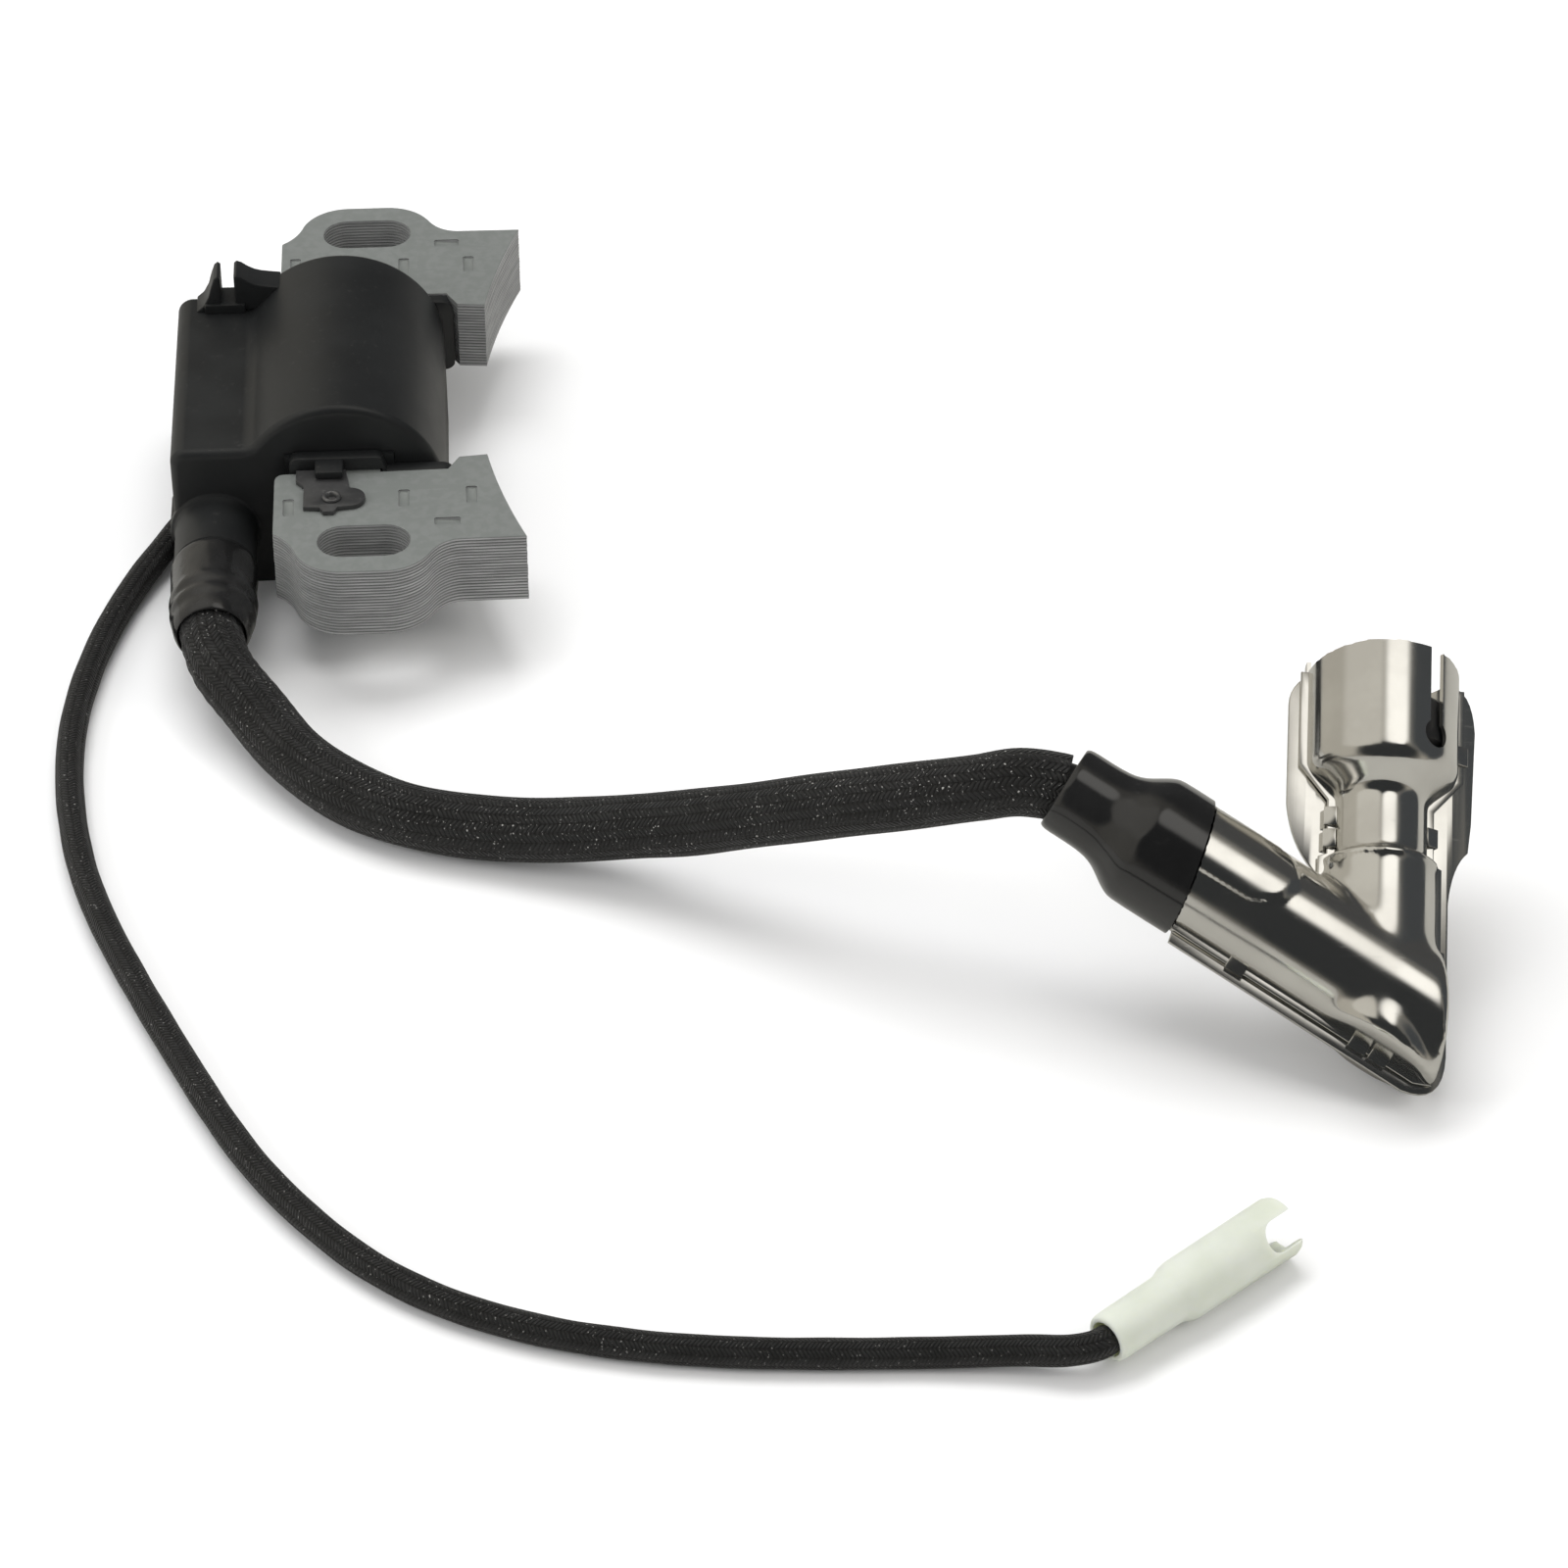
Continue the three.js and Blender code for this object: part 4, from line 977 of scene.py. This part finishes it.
# %% End collars
def collar(side):
    top = CORE_TOP - 0.1
    loop = [(-10.6, 8.2), (11.2, 8.2)] + bend((11.2, 8.2), (12.9, 8.4), (12.9, 10.4)) + [(12.9, top - 2)]
    loop += bend((12.9, top - 2), (12.8, top), (10.6, top)) + [(3.2, top), (2.6, 22.2)]
    loop += bend((2.6, 22.2), (2.4, 22.8), (1.4, 22.8)) + [(-9.4, 22.8)]
    loop += bend((-9.4, 22.8), (-10.6, 22.7), (-10.6, 21.4))
    outer, inner = LEG_IN - 0.25, CASE_HALF + 0.15
    low, high = (inner, outer) if side > 0 else (-outer, -inner)
    piece = section("collar", [loop], low, high, edge=0.3)
    spigot_low, spigot_high = (17.7, 20.4) if side > 0 else (-20.4, -17.7)
    spigot = add_box("spigot", (AXIS_X - 7.7, spigot_low, 7.8), (AXIS_X + 7.7, spigot_high, 22.2), COIL)
    combine(piece, spigot, operation="UNION")
    if side < 0:
        tongue = round_edges(add_box("tongue", (-6.9, -25.0, 21.42), (-2.9, -21.6, 22.6), COIL), 0.3)
        combine(piece, tongue, operation="UNION")
    passage = add_box("passage", (AXIS_X - 6.05, -30, 9.2), (AXIS_X + 6.05, 30, 20.8), COIL)
    tip = raised("tip", [[(11.4, side * 22.6), (13.2, side * 18.9), (20, side * 18.9), (20, side * 22.6)]],
                 0, 40, place=COIL)
    combine(piece, passage, tip)
    piece.name = "collar_far" if side > 0 else "collar_near"
    return smooth(piece)


for side, node in ((1, "end_collar_far"), (-1, "end_collar_near")):
    give(collar(side), "coil", "case_plastic", node)
print("two collars made")

# %% Earth tag and rivet
tag_loop = [(-9.6, -LEG_IN - 0.15), (-9.6, -24.8), (-8.5, -26.2), (-8.5, -31.2), (-6.2, -31.4), (-5.7, -32.4),
            (-4.2, -32.4), (-3.7, -31.4), (-2.0, -31.2)] + arc((-2.0, -29.0), 2.2, -90, 90, 14)
tag_loop += [(-2.6, -LEG_IN - 0.15)]
RIVET_X, RIVET_Y = -4.5, -29.2
tag_hole = arc((RIVET_X, RIVET_Y), 0.98, 0, 345, 23)
tag = raised("earth_tag", [tag_loop, tag_hole], CORE_TOP, CORE_TOP + 0.75, edge=0.14, place=COIL)
give(smooth(tag), "coil", "tab_steel", "ground_tab")
upright = Matrix.Translation(at(RIVET_X, RIVET_Y, CORE_TOP)) @ Matrix.Rotation(-math.pi / 2, 4, "Y")
rivet = turned("rivet", [(0.1, 0), (0.1, 0.9), (0.78, 0.92), (0.8, 1.2), (0.92, 1.34), (1.1, 1.28),
                         (1.2, 1.08), (1.14, 0.86), (0.9, 0.68), (0.5, 0.6), (0.45, 0)], 40, upright)
give(smooth(rivet, 50), "coil", "bright_steel", "ground_rivet", finish_name="rivet")
print("earth tag riveted")

# %% [markdown]
# ## Shrink sleeve and grommet
# A short length of heat-shrink tube grips the outlet and the end of the braid. Shrinking leaves it glossy, with
# soft folds where it narrows. The tube is turned, then a displace modifier with a cloudy texture pushes the
# folds in. The grommet is a soft block potted into the rim where the stop wire comes out.

# %% Heat shrink
shrink = turned("shrink", [(-29.8, 5.62), (-29.7, 6.05), (-30.2, 6.2), (-33, 6.12), (-36, 6.1), (-37.2, 6.2),
                           (-38.1, 6.32), (-38.9, 6.12), (-39.6, 5.9), (-40.3, 6.1), (-41.0, 6.02),
                           (-41.8, 5.72), (-42.6, 5.62), (-43.4, 5.5), (-44.3, 5.2), (-44.8, 4.9),
                           (-44.6, 4.75), (-38.6, 4.8), (-38.3, 5.6), (-29.8, 5.62)], 96,
                on_tower(TOWER_X, TOWER_Z))
apply_modifier(shrink, "SUBSURF", levels=2, render_levels=2)
folds = bpy.data.textures.new("folds", "CLOUDS")
folds.noise_scale = 0.0045
apply_modifier(shrink, "DISPLACE", texture=folds, texture_coords="LOCAL", strength=0.0003, mid_level=0.5)
give(smooth(shrink, 60), "coil", "lead_rubber", "heat_shrink", finish_name="shrink")
print("shrink tube:", len(shrink.data.polygons), "faces")

# %% Grommet
grommet = add_box("grommet", (BOX_LEFT - 1.2, -15.2, 0.4), (BOX_LEFT + 2.4, -5.8, 6.1), COIL)
round_edges(grommet, 0.7, 3)
wire_way = cord_curve("wire_way", WIRE_LINE[:100], 2.2, 30)
take(wire_way)
bpy.ops.object.convert(target="MESH")
combine(grommet, bpy.context.object)
give(smooth(grommet), "coil", "lead_rubber", "wire_grommet")
print("grommet bored")

# %% [markdown]
# ## Connector
# The stop wire ends in a push-on connector: a milky nylon shell with a forked mouth round a rolled brass
# receptacle. Both are turned, then slotted with booleans, and finally laid down along their own axis.

# %% Connector shell and receptacle
plug_place = (Matrix.Translation(at(90.0, -183.4, 4.12)) @ Matrix.Rotation(math.radians(38.5), 4, "Z")
              @ Matrix.Rotation(math.radians(50), 4, "X"))
nylon = turned("nylon", [(0.0, 2.35), (0.0, 2.75), (0.2, 3.05), (0.7, 3.2), (5.4, 3.25), (10.4, 3.3),
                         (11.1, 3.5), (12.0, 3.85), (12.9, 4.0), (21.0, 4.05), (29.4, 4.08), (30.0, 3.9),
                         (30.2, 3.5), (30.2, 3.25), (29.9, 3.1), (12.0, 3.1), (11.6, 2.35), (0.0, 2.35)], 72)
fork = add_box("fork", (26.7, -2.1, -6), (34, 2.1, 6))
fork_end = add_rod("fork_end", (26.7, 0, -6), (26.7, 0, 6), 2.1, 40)
combine(fork, fork_end, operation="UNION")
combine(nylon, fork)
round_edges(nylon, 0.16, 2, 50)
nylon.matrix_world = plug_place
settle("nylon")
give(smooth(nylon, 40), "coil", "white_nylon", "connector_shell")
brass = turned("receptacle", [(5.6, 1.45), (5.6, 1.9), (12.6, 1.9), (13.3, 2.55), (23.1, 2.6), (23.4, 2.45),
                              (23.2, 2.1), (14.8, 2.05), (14.2, 1.45), (5.6, 1.45)], 48)
seam_cut = add_box("seam_cut", (13.6, 1, -0.35), (26, 5, 0.35))
combine(brass, seam_cut)
brass.matrix_world = plug_place
settle("receptacle")
give(smooth(brass, 40), "coil", "brass", "connector_receptacle")
print("connector made")

# %% [markdown]
# ## Plug cap: its own frame
# The metal cap at the end of the lead is drawn lying flat in a frame of its own: X runs out of the plug cup,
# the lead arm leaves at 62 degrees to it, and Z comes out of the half that faces up. One matrix then lifts each
# finished piece to its real place, where the cap leans on the floor at its elbow.

# %% Cap frame
CUP_WAY = Vector((0.10425, 0.87428, 0.47409)).normalized()
ARM_WAY = Vector((-0.819491, 0.4266, 0.382683)).normalized()
ELBOW = at(129.86, -129.22, 11.6)
out_of_near = CUP_WAY.cross(ARM_WAY).normalized()
to_lead = out_of_near.cross(CUP_WAY)
CAP = Matrix.Translation(ELBOW) @ Matrix((CUP_WAY, to_lead, out_of_near)).transposed().to_4x4()
ARM_TURN = math.radians(62)
ON_ARM = Matrix.Rotation(ARM_TURN, 4, "Z")


def on_arm(run, side, up=0.0):
    """A point of the lead arm in the cap's frame: along the arm, out to its outer side, up."""
    return Vector((run * math.cos(ARM_TURN) - side * math.sin(ARM_TURN),
                   run * math.sin(ARM_TURN) + side * math.cos(ARM_TURN), up))


CUP_R, NECK_R, ELBOW_R, ARM_R = 10.1, 6.2, 7.3, 8.1
RING_AT, SHOULDER_LOW, SHOULDER_TOP, RIM = 16.8, 24.8, 29.3, 42.4
MOUTH_OUT, MOUTH_IN, PLATE = 26.2, 30.0, 0.6
MOUTH_LEAN = math.atan2(MOUTH_IN - MOUTH_OUT, 2 * ARM_R)
MOUTH_WAY = Vector((math.cos(ARM_TURN + MOUTH_LEAN), math.sin(ARM_TURN + MOUTH_LEAN), 0))
print("cap frame at", tuple(round(v, 4) for v in ELBOW))

# %% [markdown]
# ## Pressed shield
# The shield is two half shells pressed from thin sheet and crimped together. A pressing has no sharp inner
# corners, so the bent body is first joined from two turned solids and then rebuilt as an even voxel mesh, which
# a smooth modifier relaxes like drawn metal, strongly at the elbow. Bisecting opens its mouths and parts it at
# the seam, and a solidify modifier gives it the thickness of the sheet.

# %% Bisecting
def slice_off(piece, point, way, fill=False):
    """Removes what lies beyond a plane; point in millimetres."""
    with editing(piece):
        bpy.ops.mesh.bisect(plane_co=Vector(point) * MM, plane_no=way, clear_outer=True, use_fill=fill)
    return piece


# %% Bent body
def even_out(piece, voxel, rounds):
    apply_modifier(piece, "REMESH", mode="VOXEL", voxel_size=voxel * MM)
    return apply_modifier(piece, "SMOOTH", factor=0.5, iterations=rounds)


ARM_OUT_WAY = Vector((-math.sin(ARM_TURN), math.cos(ARM_TURN), 0))
stem = turned("stem", [(-20, 0), (-20, ELBOW_R + 0.2), (RING_AT + 3, ELBOW_R + 0.2), (RING_AT + 3, 0)], 96)
slice_off(stem, on_arm(0, ARM_R + 0.2), ARM_OUT_WAY, fill=True)
body = turned("arm", [(-30, 0), (-30, ARM_R + 0.2), (40, ARM_R + 0.2), (40, 0)], 96, ON_ARM)
slice_off(body, (0, -ELBOW_R - 0.3, 0), (0, -1, 0), fill=True)
combine(body, stem, operation="UNION")
even_out(body, 0.5, 26)
neck = turned("neck", [(RING_AT - 6, 0), (RING_AT - 6, ELBOW_R - 0.6), (RING_AT - 1.4, ELBOW_R),
                       (RING_AT - 0.8, ELBOW_R + 0.45), (RING_AT - 0.2, ELBOW_R + 0.4), (RING_AT + 0.1, NECK_R),
                       (SHOULDER_LOW, NECK_R), (SHOULDER_LOW + 0.9, NECK_R + 0.35),
                       (SHOULDER_TOP - 1.0, CUP_R - 0.5), (SHOULDER_TOP + 0.2, CUP_R), (RIM + 5, CUP_R),
                       (RIM + 5, 0)], 96)
print("elbow:", len(body.data.polygons), "faces")
print("neck and cup:", len(neck.data.polygons), "faces")

# %% [markdown]
# The elbow ends where the neck begins, at a small bead. A box takes off the rest of the elbow's stem, and the
# neck and cup are joined on before a second, lighter rebuild. The near half has a raised panel on its lead arm,
# a stiffener with a round end. Its faces are picked by their place on the arm and pushed out along their
# normals, and the last smoothing softens the step.

# %% Raised panel
PANEL_TURN, PANEL_HALF, PANEL_ROUND, PANEL_RISE = math.radians(15), 4.9, 21.0, 0.5


def panel_faces(piece):
    """Selects the panel: a strip PANEL_HALF wide to each side, with its round end centred at PANEL_ROUND."""
    for face in piece.data.polygons:
        middle = face.center / MM
        run = middle.x * math.cos(ARM_TURN) + middle.y * math.sin(ARM_TURN)
        side = -middle.x * math.sin(ARM_TURN) + middle.y * math.cos(ARM_TURN)
        across = ARM_R * (math.atan2(-side, middle.z) - PANEL_TURN)
        inside_end = math.hypot(max(0.0, PANEL_ROUND - run), across) < PANEL_HALF
        face.select = middle.z > 0 and inside_end and run > 15


combine(body, add_box("spare", (RING_AT - 1.5, -9, -9), (RING_AT + 5, 9, 9)))
combine(body, neck, operation="UNION")
apply_modifier(body, "REMESH", mode="VOXEL", voxel_size=0.42 * MM)
with editing(body, "DESELECT"):
    bpy.ops.mesh.select_mode(type="FACE")
panel_faces(body)
with editing(body, None):
    bpy.ops.transform.shrink_fatten(value=PANEL_RISE * MM)
apply_modifier(body, "SMOOTH", factor=0.5, iterations=5)
print("bent body:", len(body.data.polygons), "faces")

# %% Half shells
def half_shell(name, up, rim, rim_way):
    shell = shift_copy(body, name, (0, 0, 0))
    slice_off(shell, on_arm((MOUTH_OUT + MOUTH_IN) / 2, 0), MOUTH_WAY)
    slice_off(shell, (rim, 0, 0), rim_way)
    slice_off(shell, (0, 0, 0.15 * up), (0, 0, -up))
    return apply_modifier(shell, "SOLIDIFY", thickness=PLATE * MM, offset=-1.0)


near = half_shell("shield_half_near", 1, RIM, (1, 0, -0.2))
far = half_shell("shield_half_far", -1, RIM + 1.8, (1, 0, 0))
bpy.data.objects.remove(body)
print("halves:", len(near.data.polygons), len(far.data.polygons), "faces")

# %% [markdown]
# Along the seam the near half turns out into a narrow lip, and the far half into a wide flat flange whose small
# tabs are folded over the lip. Lip and flange are flat outlines with the body's own outline cut out of them.

# %% Lip, flange and tabs
def body_loop(grow, run=0.0):
    return [tuple(on_arm(MOUTH_OUT + run, ARM_R + grow)[:2]), tuple(on_arm(-10.2, ARM_R + grow)[:2]),
            (-12.1 - 0.857 * grow, -6.75 - 0.515 * grow), (-10.6 - 0.2 * grow, -ELBOW_R - grow),
            (RING_AT, -ELBOW_R - grow), (RING_AT + 0.5, -NECK_R - grow), (SHOULDER_LOW, -NECK_R - grow),
            (SHOULDER_TOP, -CUP_R - grow), (RIM + run, -CUP_R - grow), (RIM + run, CUP_R + grow),
            (SHOULDER_TOP, CUP_R + grow), (SHOULDER_LOW, NECK_R + grow), (RING_AT + 0.5, NECK_R + grow),
            (RING_AT, ELBOW_R + grow), (13.05 + grow * 0.5, ELBOW_R + grow),
            tuple(on_arm(MOUTH_IN + run, -ARM_R - grow)[:2])]


def flange_loop():
    side = CUP_R + 2.3
    start, tip = on_arm(MOUTH_OUT - 0.6, ARM_R + 2.3), on_arm(-9.4, ARM_R + 2.3)
    loop = [tuple(start[:2]), tuple(tip[:2])]
    loop += bend(loop[-1], (-15.4, -ELBOW_R - 1.8), (-8.5, -ELBOW_R - 2.1))
    loop += [(12.5, -ELBOW_R - 2.1)] + bend((12.5, -ELBOW_R - 2.1), (18, -ELBOW_R - 2.6), (20, -side + 0.4))
    loop += [(24, -side), (37, -side - 0.4)] + bend((37, -side - 0.4), (43.4, -side), (43.4, -side + 3.4))
    loop += [(43.4, side - 4.6)] + bend((43.4, side - 4.6), (41.6, side), (38, side))
    loop += [(24, side)] + bend((24, side), (18.4, side - 0.6), (15.2, 8.8))
    return loop + [tuple(on_arm(MOUTH_IN, -ARM_R - 1)[:2])]


def seam_plate(name, loop, low, high):
    plate = raised(name, [loop], low, high, edge=0.14)
    return combine(plate, raised("opening", [body_loop(-0.35, 7)], -3, 3))


def tab(x, y, heading):
    top = add_box("tab", (-1.3, -1.1, 0.7), (1.3, 0.5, 1.15))
    combine(top, add_box("fold", (-1.3, 0.15, -0.9), (1.3, 0.6, 1.15)), operation="UNION")
    round_edges(top, 0.16, 2)
    turn = Matrix.Rotation(math.radians(heading), 4, "Z") @ Matrix.Rotation(math.radians(-22), 4, "X")
    top.matrix_world = Matrix.Translation(Vector((x, y, 0)) * MM) @ turn
    return settle("tab")


def merge_into(piece, *others):
    take(piece, *others)
    bpy.ops.object.join()
    return piece


lip = seam_plate("lip", body_loop(0.95), 0.15, 0.75)
flange = seam_plate("flange", flange_loop(), -0.75, -0.15)
places = [(16.6, 8.6, 62), (-1.9, 8.6, 62), (-4.9, 8.6, 62)]
tabs = [tab(*on_arm(run, side)[:2], turn) for run, side, turn in places]
tabs += [tab(22.4, NECK_R + 0.5, 0), tab(19.3, NECK_R + 0.6, 0), tab(21.0, -NECK_R - 0.5, 180),
         tab(33.0, -CUP_R - 0.5, 180), tab(4.0, -ELBOW_R - 0.5, 180)]
print("tabs folded:", len(tabs))

# %% [markdown]
# A keyhole slot lets the near half's rim spring over the plug. It is cut through the wall 30 degrees round from
# the top, wherever the cup is round, with a round end that stops the sheet from tearing.

# %% Keyhole and finish
SLOT_TURN, SLOT_HALF, EYE_AT, EYE_R = math.radians(30), 1.1, RIM - 10, 1.9
key = add_box("key", (EYE_AT + 0.5, -SLOT_HALF, 6), (RIM + 4, SLOT_HALF, 14))
combine(key, add_rod("eye", (EYE_AT, 0, 6), (EYE_AT, 0, 14), EYE_R, 40), operation="UNION")
key.matrix_world = Matrix.Rotation(SLOT_TURN, 4, "X")
settle("key")
combine(near, key)
merge_into(near, lip)
merge_into(far, flange, *tabs)
for piece, node in ((near, "shield_near"), (far, "shield_far")):
    piece.matrix_world = CAP
    take(piece)
    settle(piece.name)
    give(smooth(piece, 38), "plug_cap", "bright_steel", node)
print("shield triangles:", [sum(len(f.vertices) - 2 for f in p.data.polygons) for p in (near, far)])

# %% [markdown]
# ## Seal, contact and boot
# Inside the cup a rubber seal grips the plug's porcelain, round the sprung contact that clips on its terminal.
# The boot closes the lead arm: a glossy bell with a round skirt, moulded in one piece, through which the lead
# passes. All three are turned, and the boot's skirt is cut on the same slant as the shield's mouth.

# %% Seal and contact
seal = turned("seal", [(28.4, 4.3), (28.4, 5.4), (32.2, 9.0), (37.6, 9.0), (38.0, 8.7), (38.0, 8.2),
                       (37.9, 7.0), (36.6, 5.8), (35.0, 4.7), (33.6, 4.3), (28.4, 4.3)], 72, CAP)
give(smooth(seal), "plug_cap", "lead_rubber", "plug_seal")
contact = turned("contact", [(20.6, 0), (20.6, 2.9), (29.0, 2.9), (30.4, 3.1), (31.5, 3.4), (31.4, 2.9),
                             (30.0, 2.4), (29.0, 2.2), (21.6, 2.2), (21.6, 0)], 60, CAP)
give(smooth(contact), "plug_cap", "bright_steel", "plug_contact")
print("seal and contact turned")

# %% Boot
boot = turned("boot", [(22.5, 7.8), (22.5, 8.6), (24, 8.9), (34.2, 8.95), (35.4, 8.85), (36.3, 8.45),
                       (37.4, 7.8), (38.6, 6.95), (39.8, 6.35), (41.2, 6.0), (43.6, 5.9), (46.2, 5.95),
                       (47.2, 5.85), (47.6, 5.5), (47.5, 5.2), (46.6, 4.85), (44.4, 4.3), (41.5, 3.85),
                       (30, 3.8), (22.6, 3.8), (22.5, 7.8)], 96, ON_ARM)
apply_modifier(boot, "SUBSURF", levels=1, render_levels=1)
middle = (MOUTH_OUT + MOUTH_IN) / 2 + 0.3
slice_off(boot, on_arm(middle, 0), -MOUTH_WAY)
with editing(boot, "DESELECT"):
    bpy.ops.mesh.select_mode(type="EDGE")
    bpy.ops.mesh.select_non_manifold(extend=False)
    bpy.ops.mesh.bridge_edge_loops()
    bpy.ops.mesh.select_all(action="SELECT")
    bpy.ops.mesh.normals_make_consistent(inside=False)
skirt = turned("skirt", [(21.4, 3.85), (21.4, 7.1), (33, 7.1), (33, 3.85), (21.4, 3.85)], 72, ON_ARM)
merge_into(boot, skirt)
boot.matrix_world = CAP
settle("boot")
give(smooth(boot, 40), "plug_cap", "shrink_tube", "cap_boot")
print("boot made")

# %% [markdown]
# ## The cords
# The lead ends in the plug cap, and the stop wire in its connector.

# %% Cords
print("cords: lead to plug cap, stop wire to connector")

# %% [markdown]
# ## Finishes for the frame's own nodes
# What hides inside, such as the windings, the board and the resin, keeps its measured shape and only gets its
# finish, by the material slot that the record gives it.

# %% Inner pieces
slots = {row["node"]: row["material_slot"] for row in frame["record"]["subparts"]}
for name, node in frame["nodes"].items():
    finish_of = FINISHES[slots.get(name, "case_plastic")]
    if not node.data.materials:
        node.data.materials.append(finish_of)
    for number in range(len(node.data.materials)):
        node.data.materials[number] = finish_of
print("nodes dressed:", len(frame["nodes"]))

# %% Last update
bpy.context.view_layer.update()
